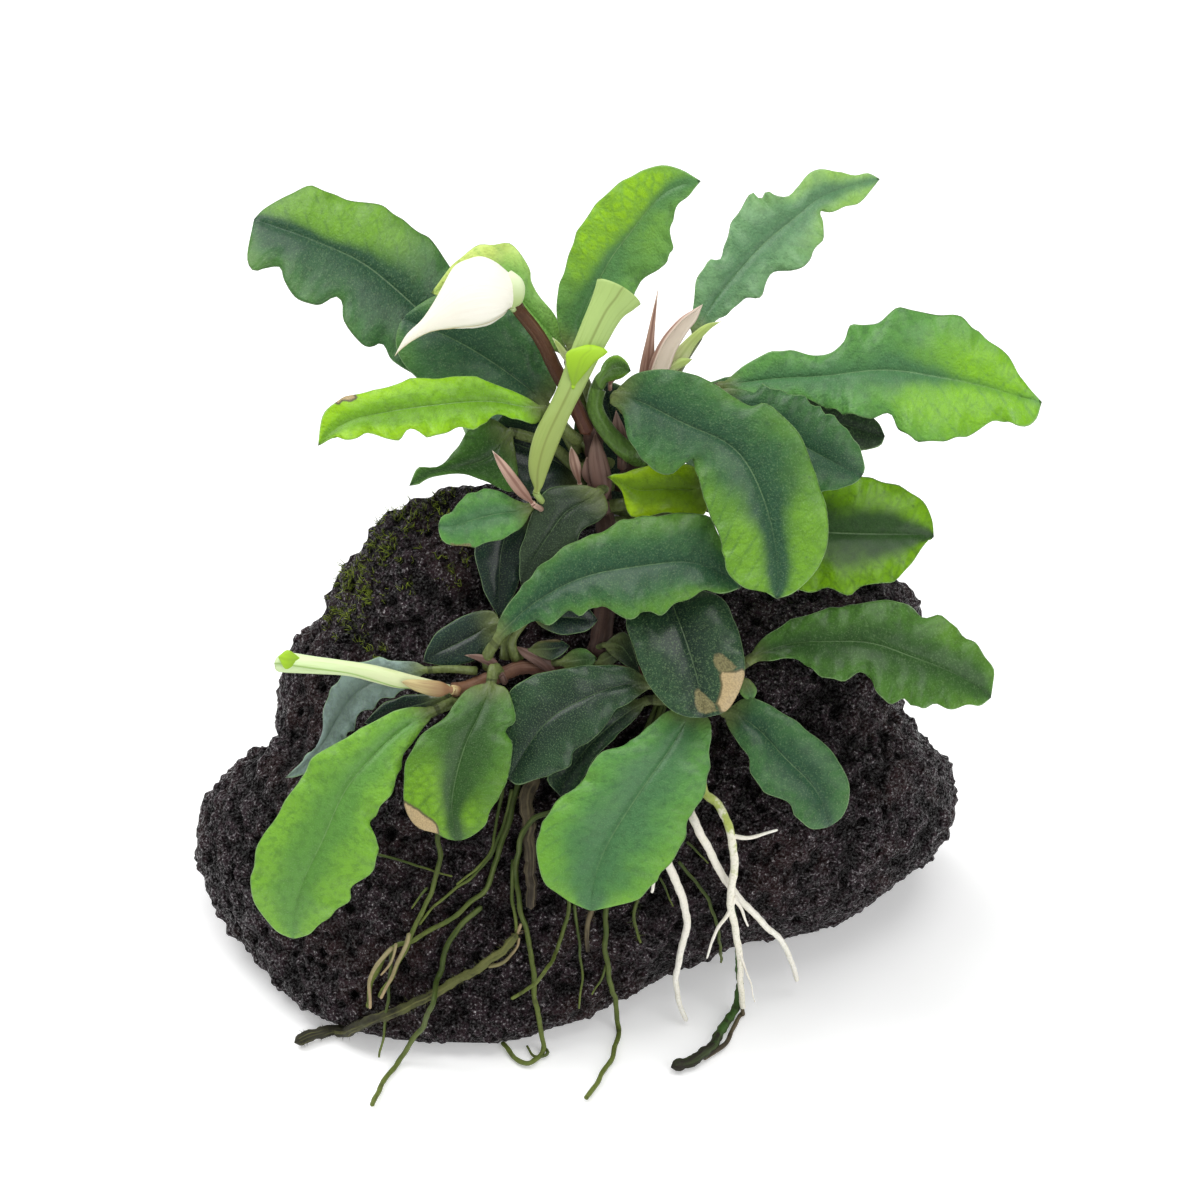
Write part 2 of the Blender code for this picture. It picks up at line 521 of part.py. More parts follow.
def stone_point(angle, radius, ring, front):
    """Point of the stone's skin: ring runs from 0 at the hub to 1 at the rim seen in the picture."""
    column = STONE_HUB[0] + math.cos(angle) * radius * ring
    row = STONE_HUB[1] - math.sin(angle) * radius * ring
    up = PICTURE_UP + (MIDDLE - row) * PIXEL
    rim_height = STONE_RIM_LIFT + (up + math.hypot(up, STONE_RIM_SOFTNESS)) / 2
    rim = near_at_height(row, rim_height)
    if front:
        bulge = math.sqrt(1.0 - ring**STONE_FRONT_SQUARENESS)
        reach = STONE_FRONT
        for lump_column, lump_row, size, height in STONE_LUMPS:
            away = math.hypot(column - lump_column, row - lump_row) / size
            reach += height * math.exp(-away * away)
    else:
        bulge = math.sqrt(1.0 - ring**STONE_BACK_SQUARENESS)
        reach = near_at_height(row, (up - SIN * STONE_BACK_Y) / COS)
    point = place(column, row, rim + (reach - rim) * bulge)
    grain = noise.noise(point / STONE_GRAIN) + noise.noise(point / STONE_FINER_GRAIN) / 2
    from_lump = noise.voronoi(point / STONE_LUMP_SPACING)[0][0]
    relief = grain * STONE_GRAIN_HEIGHT + (STONE_LUMP_LEVEL - from_lump) * STONE_LUMP_HEIGHT
    outward = (point - STONE_MIDDLE).normalized()
    return point + outward * relief * (1.0 - STONE_RIM_CALM * ring**4)


def build_stone(collection):
    """The lava stone, cut flat where it rests."""
    spokes = outline_radius()
    angles = np.arange(STONE_SPOKES) * FULL_TURN / STONE_SPOKES
    radii = np.interp(angles, spokes[:, 0], spokes[:, 1], period=FULL_TURN)
    stone = bmesh.new()

    def ring_of(ring, front):
        return [stone.verts.new(stone_point(angle, radius, ring, front))
                for angle, radius in zip(angles, radii)]

    front_steps = np.sin(np.linspace(0.0, math.pi / 2, STONE_FRONT_RINGS + 1))[1:]
    back_steps = np.sin(np.linspace(0.0, math.pi / 2, STONE_BACK_RINGS + 1))[1:-1]
    rings = [ring_of(step, True) for step in front_steps]
    rings += [ring_of(step, False) for step in reversed(back_steps)]
    poles = (stone.verts.new(stone_point(0.0, 0.0, 0.0, True)),
             stone.verts.new(stone_point(0.0, 0.0, 0.0, False)))
    close_loft(stone, rings, poles[0], poles[1])
    everything = [*stone.verts, *stone.edges, *stone.faces]
    bmesh.ops.bisect_plane(stone, geom=everything, dist=PLANE_TOLERANCE, plane_co=(0, 0, 0),
                           plane_no=(0, 0, 1), clear_inner=True)
    rim = [edge for edge in stone.edges if edge.is_boundary]
    bmesh.ops.holes_fill(stone, edges=rim, sides=0)
    return add_mesh("lava_stone", stone, collection, LAVA_BLACK, STONE_ROUGHNESS)


def close_loft(mesh_data, rings, first=None, last=None):
    """Faces between rings of equal count, closed by a point or by a flat face at each end."""
    count = len(rings[0])
    for ring, following in zip(rings, rings[1:]):
        for here in range(count):
            there = (here + 1) % count
            mesh_data.faces.new((ring[here], ring[there], following[there], following[here]))
    for ring, point in ((rings[0], first), (rings[-1], last)):
        if point is None:
            mesh_data.faces.new(ring)
            continue
        for here in range(count):
            mesh_data.faces.new((ring[here], point, ring[(here + 1) % count]))


def section(rib, left, right, normal, thickness, sides):
    """Closed cross-section through a blade: left edge, over the front, right edge, and back."""
    points = []
    for side in range(sides):
        angle = math.pi - FULL_TURN * side / sides
        across = math.cos(angle)
        edge = right if across > 0 else left
        points.append(rib + (edge - rib) * abs(across) + normal * (math.sin(angle) * thickness))
    return points


def stalk_sections(blade):
    """Round sections along the blade's stalk."""
    centres = [place(*point) for point in smooth(blade.stalk, STALK_RINGS)]
    sections = []
    for index, centre in enumerate(centres):
        ahead = centres[min(index + 1, STALK_RINGS - 1)] - centres[max(index - 1, 0)]
        sideways = ahead.cross(TO_VIEWER).normalized() * blade.radius
        forward = sideways.cross(ahead).normalized()
        sections.append(section(centre, centre - sideways, centre + sideways, forward, blade.radius,
                                blade.sides))
    return sections


def blade_sections(blade):
    """Sections along the blade between its two edges, without the tip."""
    start = blade.stalk[-1]
    left = smooth([start[:2], *blade.left, blade.tip], blade.stations + 1)
    right = smooth([start[:2], *blade.right, blade.tip], blade.stations + 1)
    share = np.linspace(0.0, 1.0, blade.stations + 1)
    near = np.polyval(np.polyfit((0.0, 0.5, 1.0), (start[2], *blade.near), 2), share)
    ribs, lefts, rights = [], [], []
    for (lc, lr), (rc, rr), depth in zip(left, right, near):
        half = math.hypot(lc - rc, lr - rr) * PIXEL / 2
        tip_back = blade.lean * (lr - rr) * PIXEL / 2
        forward = blade.fold * half
        ribs.append(place((lc + rc) / 2, (lr + rr) / 2, depth))
        lefts.append(place(lc, lr, depth + tip_back + forward))
        rights.append(place(rc, rr, depth - tip_back + forward))
    sections = []
    for at in range(1, blade.stations):
        normal = (rights[at] - lefts[at]).cross(ribs[at + 1] - ribs[at - 1]).normalized()
        if normal.dot(TO_VIEWER) < 0:
            normal.negate()
        half = (rights[at] - lefts[at]).length / 2
        thickness = blade.bulk * half if blade.bulk else LEAF_HALF_THICKNESS
        sections.append(section(ribs[at], lefts[at], rights[at], normal, thickness, blade.sides))
    return sections, ribs[-1]


def build_blade(blade, collection):
    """A leaf, sheath or spathe as one closed loft from its stalk to its tip."""
    sections, tip = blade_sections(blade)
    mesh_data = bmesh.new()
    rings = [[mesh_data.verts.new(point) for point in points]
             for points in [*stalk_sections(blade), *sections]]
    close_loft(mesh_data, rings, last=mesh_data.verts.new(tip))
    return add_mesh(blade.name, mesh_data, collection, blade.colour, LEAF_ROUGHNESS)


def rest_on(tree, column, row, radius):
    """Where a strand's middle lies on the stone, or else on the floor, along a line of sight."""
    start = place(column, row, SIGHT_START)
    hit = tree.ray_cast(start, place(column, row, SIGHT_END) - start)[0]
    if hit is None:
        return place(column, row, near_at_height(row, FLOOR_GAP + radius))
    return hit + TO_VIEWER * (radius + GAP)


def settle(tree, point, radius):
    """The point, moved out of the stone and up off the floor by the strand's radius and gap."""
    clear = radius + GAP
    for _ in range(SETTLE_ROUNDS):
        nearest, normal, _, distance = tree.find_nearest(point)
        inside = (point - nearest).dot(normal) < 0
        if inside or distance < clear:
            point = nearest + normal * clear
        point = Vector((point.x, point.y, max(point.z, FLOOR_GAP + radius)))
    return point


def build_strand(strand, collection, tree):
    """A root or stem: a tube along its path that narrows from one radius to the other."""
    widest = max(strand.radius, strand.end_radius)
    knots = []
    for column, row, *near in strand.path:
        knots.append(place(column, row, near[0]) if near else rest_on(tree, column, row, widest))
    route = [settle(tree, Vector(point), widest) for point in smooth(knots, strand.points)]
    curve = bpy.data.curves.new(strand.name, "CURVE")
    curve.dimensions = "3D"
    curve.bevel_depth = widest * MM
    curve.bevel_resolution = strand.resolution
    curve.use_fill_caps = True
    spline = curve.splines.new("POLY")
    spline.points.add(len(route) - 1)
    for index, (knot, point) in enumerate(zip(spline.points, route)):
        share = index / (len(route) - 1)
        knot.co = (*(point * MM), 1.0)
        knot.radius = (strand.radius + (strand.end_radius - strand.radius) * share) / widest
    curve.materials.append(finish(strand.name, strand.colour, STRAND_ROUGHNESS))
    thing = bpy.data.objects.new(strand.name, curve)
    collection.objects.link(thing)
    return thing


def stone_tree(stone):
    """Search tree over the stone's faces, in millimetres."""
    corners = [vertex.co / MM for vertex in stone.data.vertices]
    faces = [tuple(polygon.vertices) for polygon in stone.data.polygons]
    return BVHTree.FromPolygons(corners, faces)


def main():
    """Clear the scene and build every piece into one collection."""
    for thing in list(bpy.data.objects):
        bpy.data.objects.remove(thing, do_unlink=True)
    collection = bpy.data.collections.new("bucephalandra_on_stone")
    bpy.context.scene.collection.children.link(collection)
    stone = build_stone(collection)
    tree = stone_tree(stone)
    for strand in (*STEMS, *ROOTS):
        build_strand(strand, collection, tree)
    for blade in (*LEAVES, *SHEATHS, SPATHE):
        build_blade(blade, collection)


main()
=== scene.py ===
"""Looks of a bucephalandra that grows on a piece of lava stone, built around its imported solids.

Lengths are in millimetres and become metres where a mesh is made. The origin is in the middle of the
stone's flat resting face, +Z is up and the plant leans towards -Y.

The plant is laid out on the lines of sight of one reference view, which looks along +Y and down. A
point is given as its column and row in that view's picture and as `near`, how far it stands from the
origin towards the viewer.
"""
import logging
import math
from dataclasses import dataclass, field
from enum import Enum
from typing import NamedTuple

import bmesh
import bpy
import numpy as np
from bpy.types import Material, Mesh, NodeSocket, Object
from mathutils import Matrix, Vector, noise
from mathutils.bvhtree import BVHTree


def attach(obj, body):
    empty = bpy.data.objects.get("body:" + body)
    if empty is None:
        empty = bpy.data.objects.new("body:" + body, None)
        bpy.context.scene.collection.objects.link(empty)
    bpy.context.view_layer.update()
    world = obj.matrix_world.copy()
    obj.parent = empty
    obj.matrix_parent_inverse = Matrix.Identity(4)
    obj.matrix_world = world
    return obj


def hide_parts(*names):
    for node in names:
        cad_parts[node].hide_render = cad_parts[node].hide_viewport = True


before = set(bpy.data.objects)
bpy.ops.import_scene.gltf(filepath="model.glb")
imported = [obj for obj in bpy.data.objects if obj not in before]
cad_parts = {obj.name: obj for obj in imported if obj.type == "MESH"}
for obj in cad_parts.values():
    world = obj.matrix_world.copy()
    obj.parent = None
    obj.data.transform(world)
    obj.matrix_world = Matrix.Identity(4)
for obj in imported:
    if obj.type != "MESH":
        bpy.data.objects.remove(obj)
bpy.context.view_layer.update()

LOG = logging.getLogger("bucephalandra")

MM = 0.001
PER_MM = 1.0 / MM
BODY = "root"
FULL_TURN = 2 * math.pi
SEED = 20
SPLINE_STEPS = 12

Array = np.ndarray
Colour = tuple[float, float, float]
Knots = list[tuple[float, ...]]


@dataclass(frozen=True)
class SightLines:
    """The reference view and its lines of sight.

    elevation is how steeply it looks down, distance how far the viewer is, picture the picture's
    side in pixels and width the breadth it takes in at the origin. across and up place the middle of
    the picture.
    """
    elevation: float = math.radians(38.0)
    distance: float = 750.0
    picture: int = 1200
    width: float = 175.0
    across: float = 2.9
    up: float = 42.3
    sensor: float = 36.0

    @property
    def pixel(self) -> float:
        """Millimetres that a pixel takes in at the origin."""
        return self.width / self.picture

    @property
    def to_viewer(self) -> Array:
        """Direction from the object to the viewer."""
        return np.array((0.0, -math.cos(self.elevation), math.sin(self.elevation)))

    def place(self, points: Array) -> Array:
        """Points in space on the lines of sight.

        Args:
            points: column, row and near in the last axis.

        Returns:
            x, y and z in millimetres in the last axis.
        """
        column, row, near = np.moveaxis(np.asarray(points, dtype=float), -1, 0)
        scale = self.pixel * (self.distance - near) / self.distance
        across = self.across + (column - self.picture / 2) * scale
        up = self.up + (self.picture / 2 - row) * scale
        sine, cosine = math.sin(self.elevation), math.cos(self.elevation)
        return np.stack([across, up * sine - near * cosine, up * cosine + near * sine], axis=-1)

    def near_at_height(self, row: float, height: float) -> float:
        """Depth at which a picture row's line of sight is at a height.

        Args:
            row: the picture's row.
            height: height above the floor in millimetres.

        Returns:
            How near to the viewer that point is.
        """
        sine, cosine = math.sin(self.elevation), math.cos(self.elevation)
        rise = (self.picture / 2 - row) * self.pixel
        return (height - cosine * (self.up + rise)) / (sine - cosine * rise / self.distance)


SIGHT = SightLines()


def through(knots: Array) -> Array:
    """Dense points of the Catmull-Rom curve through the knots.

    Args:
        knots: the points that the curve passes through, one a row.

    Returns:
        The curve's points, one a row.
    """
    knots = np.asarray(knots, dtype=float)
    padded = np.vstack([2 * knots[0] - knots[1], knots, 2 * knots[-1] - knots[-2]])
    share = (np.arange(SPLINE_STEPS) / SPLINE_STEPS)[:, None]
    pieces = []
    for before, start, end, after in zip(padded[:-3], padded[1:-2], padded[2:-1], padded[3:]):
        bend = 2 * before - 5 * start + 4 * end - after
        twist = 3 * start - before - 3 * end + after
        pieces.append(0.5 * (2 * start + (end - before) * share + bend * share**2 + twist * share**3))
    return np.vstack([*pieces, knots[-1:]])


def run_of(points: Array) -> Array:
    """Length along a line of points up to each one, from 0 at the first."""
    return np.concatenate([[0.0], np.cumsum(np.linalg.norm(np.diff(points, axis=0), axis=1))])


def at_runs(points: Array, run: Array, wanted: Array) -> Array:
    """Points of a line at the wanted lengths, where run is the length up to each of its points."""
    return np.column_stack([np.interp(wanted, run, column) for column in points.T])


def evenly(points: Array, count: int) -> Array:
    """A line read again as that many points at even spacing, with the same ends."""
    run = run_of(points)
    return at_runs(points, run, np.linspace(0.0, run[-1], count))


def soften(points: Array, spread: float) -> Array:
    """A calmer copy of a line, with its ends kept.

    Args:
        points: the line's points at even spacing, one a row.
        spread: how many points the averaging reaches, as a standard deviation.

    Returns:
        The softened points.
    """
    reach = min(int(3 * spread), len(points) - 1)
    if reach < 1:
        return points.copy()
    head = 2 * points[0] - points[reach:0:-1]
    tail = 2 * points[-1] - points[-2:-reach - 2:-1]
    padded = np.vstack([head, points, tail])
    weights = np.exp(-0.5 * (np.arange(-reach, reach + 1) / spread)**2)
    weights /= weights.sum()
    return np.column_stack([np.convolve(column, weights, "valid") for column in padded.T])


def step_up(value: Array, low: float, high: float) -> Array:
    """Smooth rise from 0 to 1 as the value goes from low to high."""
    share = np.clip((np.asarray(value, dtype=float) - low) / (high - low), 0.0, 1.0)
    return share * share * (3.0 - 2.0 * share)


def unit(vectors: Array) -> Array:
    """The vectors at length 1."""
    return vectors / np.maximum(np.linalg.norm(vectors, axis=-1, keepdims=True), 1e-12)


def ripple(run: Array, seed: int, length: float) -> Array:
    """Irregular wave of height about 1 along a line.

    Args:
        run: positions along the line in millimetres.
        seed: picks the wave.
        length: the wave's mean length in millimetres.

    Returns:
        The wave's height at each position.
    """
    rng = np.random.default_rng(seed)
    total = np.zeros_like(run, dtype=float)
    for weight, stretch in ((0.6, 1.0), (0.4, 0.62), (0.25, 0.37)):
        wave = length * stretch * rng.uniform(0.85, 1.15)
        total += weight * np.sin(FULL_TURN * (run / wave + rng.uniform()))
    return total


def depth_inside(outline: Array, points: Array) -> Array:
    """How far points lie inside a closed outline, below 0 outside it.

    Args:
        outline: the outline's corners, one a row.
        points: the points to measure, one a row.

    Returns:
        Distance to the outline for each point, positive inside.
    """
    inside = np.zeros(len(points), dtype=bool)
    nearest = np.full(len(points), np.inf)
    for (x0, y0), (x1, y1) in zip(outline, np.roll(outline, -1, axis=0)):
        edge = np.array((x1 - x0, y1 - y0))
        offset = points - (x0, y0)
        share = np.clip(offset @ edge / (edge @ edge), 0.0, 1.0)
        nearest = np.minimum(nearest, np.linalg.norm(offset - share[:, None] * edge, axis=1))
        crosses = (y0 > points[:, 1]) != (y1 > points[:, 1])
        height = edge[1] if edge[1] else np.inf
        inside ^= crosses & (points[:, 0] < x0 + (points[:, 1] - y0) * edge[0] / height)
    return np.where(inside, nearest, -nearest)


def loop_faces(rings: int, around: int) -> Array:
    """Four-sided faces between closed rings of points.

    Args:
        rings: how many rings there are.
        around: points in each ring.

    Returns:
        The faces' point numbers, one face a row.
    """
    here = np.arange((rings - 1) * around).reshape(-1, around)
    there = np.roll(here, -1, axis=1)
    return np.stack([here, there, there + around, here + around], axis=-1).reshape(-1, 4)


def pole_faces(ring: int, around: int, pole: int) -> Array:
    """Three-sided faces that close the ring of that number on the point called pole."""
    here = ring * around + np.arange(around)
    return np.stack([here, np.roll(here, -1), np.full(around, pole)], axis=-1)


def add_layer(mesh: Mesh, name: str, numbers: Array) -> None:
    """Gives each point of a mesh a number or a vector of that name."""
    kind, member = ("FLOAT_VECTOR", "vector") if numbers.ndim > 1 else ("FLOAT", "value")
    mesh.attributes.new(name, kind, "POINT").data.foreach_set(member, numbers.astype(np.float32).ravel())


@dataclass
class Skin:
    """Points, faces and point values of a mesh, gathered part by part in millimetres."""
    points: list[Array] = field(default_factory=list)
    faces: list[list[int]] = field(default_factory=list)
    values: list[dict[str, Array]] = field(default_factory=list)

    def add(self, points: Array, faces: list[Array], **values: Array) -> None:
        """Adds a part.

        Args:
            points: the part's points, one a row.
            faces: arrays of its faces' point numbers.
            values: a number or a vector for each point, by name.
        """
        start = sum(len(part) for part in self.points)
        self.points.append(points)
        for group in faces:
            self.faces.extend((group + start).tolist())
        self.values.append(values)

    def mesh(self, name: str) -> Mesh:
        """Makes the mesh, with 0 for the values that a part has none of.

        Args:
            name: the mesh's name.

        Returns:
            The mesh in metres.
        """
        mesh = bpy.data.meshes.new(name)
        mesh.from_pydata((np.vstack(self.points) * MM).tolist(), [], self.faces)
        for key in sorted({key for part in self.values for key in part}):
            shape = next(part[key].shape[1:] for part in self.values if key in part)
            add_layer(mesh, key, np.concatenate([
                part.get(key, np.zeros((len(points), *shape)))
                for part, points in zip(self.values, self.points)]))
        return mesh


def show(mesh: Mesh, material: Material, like: str, stands_for: bool = True) -> Object:
    """Puts a mesh in the scene as a piece that rides on the body.

    Args:
        mesh: the mesh in metres, named as the piece.
        material: the piece's finish.
        like: the solid that it may stand for.
        stands_for: whether it is shown instead of that solid.

    Returns:
        The new object.
    """
    sides = bmesh.new()
    sides.from_mesh(mesh)
    bmesh.ops.recalc_face_normals(sides, faces=sides.faces)
    sides.to_mesh(mesh)
    sides.free()
    mesh.materials.clear()
    mesh.materials.append(material)
    mesh.shade_smooth()
    piece = bpy.data.objects.new(mesh.name, mesh)
    bpy.context.scene.collection.objects.link(piece)
    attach(piece, BODY)
    if stands_for:
        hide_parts(like)
    return piece


def darker(colour: Colour, share: float) -> Colour:
    """The colour at a share of its strength."""
    return tuple(share * part for part in colour)


@dataclass(frozen=True)
class Signal:
    """A node's output, which adds, subtracts and multiplies as a number does."""
    graph: "Graph"
    socket: NodeSocket

    def __add__(self, other: object) -> "Signal":
        """The sum with another output or a number."""
        return self.graph.math("ADD", self, other)

    def __sub__(self, other: object) -> "Signal":
        """What is left after taking away another output or a number."""
        return self.graph.math("SUBTRACT", self, other)

    def __mul__(self, other: object) -> "Signal":
        """The product with another output or a number."""
        return self.graph.math("MULTIPLY", self, other)


class Graph:
    """The node tree of one finish, with a short call for each kind of node that finishes use.

    The Mix node's sockets share their names, so its share and two colours go by number.
    """
    MIX_INPUTS = 0, 6, 7
    MIX_OUTPUT = 2

    def __init__(self, name: str) -> None:
        """Starts a material of that name with its Principled shader."""
        self.material = bpy.data.materials.new(name)
        self.material.use_nodes = True
        self.tree = self.material.node_tree
        self.shader = self.tree.nodes["Principled BSDF"]

    def node(self, kind: str, output: object, inputs: dict, **settings: object) -> Signal:
        """Adds a node.

        Args:
            kind: the node's type.
            output: name or number of the wanted output.
            inputs: a constant or an output for each input, by name or number.
            settings: the node's own settings.

        Returns:
            The wanted output.
        """
        made = self.tree.nodes.new(kind)
        for key, value in settings.items():
            setattr(made, key, value)
        for key, value in inputs.items():
            self.feed(made.inputs[key], value)
        return Signal(self, made.outputs[output])

    def feed(self, socket: NodeSocket, value: object) -> None:
        """Sets an input to a constant, or links an output to it.

        Args:
            socket: the input.
            value: a constant or another node's output.
        """
        if isinstance(value, Signal):
            self.tree.links.new(value.socket, socket)
        elif isinstance(value, tuple) and socket.type == "RGBA":
            socket.default_value = (*value, 1.0)
        else:
            socket.default_value = value

    def shade(self, **values: object) -> None:
        """Sets or links the shader's inputs, by names in which _ stands for a space."""
        for key, value in values.items():
            self.feed(self.shader.inputs[key.replace("_", " ")], value)

    def value(self, name: str) -> Signal:
        """The mesh's number of that name at each point."""
        return self.node("ShaderNodeAttribute", "Fac", {}, attribute_name=name)

    def vector(self, name: str) -> Signal:
        """The mesh's vector of that name at each point."""
        return self.node("ShaderNodeAttribute", "Vector", {}, attribute_name=name)

    def place_mm(self) -> Signal:
        """The place on the object in millimetres."""
        return self.stretch(self.node("ShaderNodeTexCoord", "Object", {}), (PER_MM,) * 3)

    def stretch(self, vector: Signal, factors: tuple) -> Signal:
        """The vector times a factor for each axis."""
        return self.node("ShaderNodeVectorMath", 0, {0: vector, 1: factors}, operation="MULTIPLY")

    def math(self, operation: str, first: object, second: object) -> Signal:
        """Arithmetic on two numbers, by the Math node's operation."""
        return self.node("ShaderNodeMath", 0, {0: first, 1: second}, operation=operation)

    def noise(self, place: Signal, size: float, detail: float = 2.0, roughness: float = 0.5) -> Signal:
        """Cloudy noise about 0.5, with clouds of that size in millimetres and finer layers on them."""
        return self.node("ShaderNodeTexNoise", "Fac", {
            "Vector": place, "Scale": 1.0 / size, "Detail": detail, "Roughness": roughness})

    def cells(self, place: Signal, size: float, feature: str = "F1") -> Signal:
        """Distances in a pattern of cells of that size in millimetres."""
        return self.node("ShaderNodeTexVoronoi", "Distance", {"Vector": place, "Scale": 1.0 / size},
                         feature=feature)

    def rise(self, value: Signal, low: float, high: float, start: float = 0.0, end: float = 1.0) -> Signal:
        """Smooth step from start to end as the value goes from low to high."""
        return self.node("ShaderNodeMapRange", "Result", {
            "Value": value, "From Min": low, "From Max": high, "To Min": start, "To Max": end},
            interpolation_type="SMOOTHSTEP")

    def mix(self, share: object, first: object, second: object) -> Signal:
        """Blend of two colours, where a share of 0 is the first and 1 the second."""
        inputs = dict(zip(self.MIX_INPUTS, (share, first, second)))
        return self.node("ShaderNodeMix", self.MIX_OUTPUT, inputs, data_type="RGBA")

    def bump(self, height: Signal, depth: float) -> None:
        """Gives the shader relief of that depth in millimetres."""
        self.shade(Normal=self.node("ShaderNodeBump", 0, {
            "Height": height, "Distance": depth * MM, "Strength": 1.0}))

    def paint(self, colour: Signal, roughness: Signal) -> Material:
        """The finished material, with that colour and roughness."""
        self.shade(Base_Color=colour, Roughness=roughness)
        return self.material


@dataclass(frozen=True)
class LeafFinish:
    """Living leaf tissue: waxy, pebbly and veined, lime towards its margins and tip, partly its own colour
    and partly painted light shining through where it is thin.
    """
    name: str
    core: Colour
    blade: Colour
    lime: Colour
    under: Colour
    stalk: Colour = (0.15, 0.19, 0.06)
    rim: Colour = (0.30, 0.48, 0.20)
    rib_light: float = 0.25
    rib_dark: float = 0.45
    veins: float = 0.35
    speckle: float = 0.2
    net: float = 0.14
    wax: float = 0.3
    roughness: float = 0.4
    tan: Colour = (0.50, 0.38, 0.20)
    olive: Colour = (0.22, 0.20, 0.09)

    def material(self) -> Material:
        """The finish as a material, which reads the values that Blade gives its points.

        Returns:
            The material.
        """
        g = Graph(self.name)
        grain, along, across = g.vector("grain"), g.value("along"), g.value("across")
        rib, edge, lime = g.value("rib"), g.value("edge"), g.value("lime")
        cloud = g.noise(grain, 6.0, 3.0)
        mottle = g.noise(grain, 1.1, 3.0, 0.6)
        speck = g.noise(grain, 0.2, 2.0, 0.7)
        colour = g.mix(g.rise(across + (cloud - 0.5) * 0.9, 0.1, 0.85), self.core, self.blade)
        # Lime towards the margins, the tip and the glow spots: partly the leaf's own colour and partly
        # painted light shining through the thin tissue.
        reach = lime + (cloud - 0.5) * 0.55 + (mottle - 0.5) * 0.3
        colour = g.mix(g.rise(reach, 0.15, 0.85), colour, self.lime)
        vein_line = g.rise(g.value("vein"), 0.05, 0.55, 1.0, 0.0) * self.veins
        colour = g.mix(vein_line * g.rise(mottle, 0.3, 0.6), colour, self.core)
        mesh = g.cells(g.stretch(grain, (0.7, 1.1, 1.0)), 1.3, "DISTANCE_TO_EDGE")
        mesh = g.rise(mesh, 0.0, 0.28, 1.0, 0.0) * g.rise(reach, 0.2, 0.7)
        colour = g.mix(mesh * self.net, colour, self.core)
        band = g.rise(rib, 0.15, 1.1, 1.0, 0.0) * g.rise(along, 0.4, 0.85)
        colour = g.mix(band * self.rib_dark, colour, self.core)
        line = g.rise(rib, 0.06, 0.2, 1.0, 0.0) * g.rise(along, 0.5, 0.9, 1.0, 0.0)
        colour = g.mix(line * self.rib_light, colour, self.rim)
        shade = g.rise(mottle, 0.42, 0.66) * g.rise(reach, 0.1, 0.7, 0.42, 0.14)
        colour = g.mix(shade, colour, darker(self.core, 0.62))
        colour = g.mix(g.rise(speck, 0.5, 0.72) * self.speckle, colour, self.rim)
        colour = g.mix(g.rise(edge, 0.04, 0.16, 1.0, 0.0) * 0.5, colour, self.rim)
        dry = g.value("tan") + (mottle - 0.5) * 0.5
        dry_colour = g.mix(g.rise(speck, 0.35, 0.6), darker(self.tan, 0.75), self.tan)
        colour = g.mix(g.rise(dry, -0.35, -0.05), colour, darker(self.olive, 0.5))
        colour = g.mix(g.rise(dry, -0.05, 0.25), colour, dry_colour)
        stale = g.value("olive") + (mottle - 0.5) * 0.4
        stale_colour = g.mix(g.rise(speck, 0.35, 0.6), darker(self.olive, 0.5), self.olive)
        colour = g.mix(g.rise(stale, -0.05, 0.3), colour, stale_colour)
        back = g.mix(g.rise(mottle, 0.3, 0.7), self.under, self.blade)
        colour = g.mix(g.value("back"), colour, back)
        streak = g.noise(g.stretch(grain, (2.2, 0.25, 1.0)), 1.0, 3.0)
        petiole = g.mix(g.rise(streak, 0.35, 0.65), darker(self.stalk, 0.75), self.stalk)
        colour = g.mix(g.value("stalk"), colour, petiole)
        pebble = g.cells(grain, 0.36, "SMOOTH_F1")
        g.bump(pebble * 0.7 + speck * 0.5 + mottle * 0.6 - mesh * 0.25, 0.2)
        g.shade(Specular_IOR_Level=0.12, Coat_Weight=self.wax, Coat_Roughness=0.24)
        return g.paint(colour, g.rise(speck, 0.3, 0.7, self.roughness + 0.1, self.roughness - 0.04))


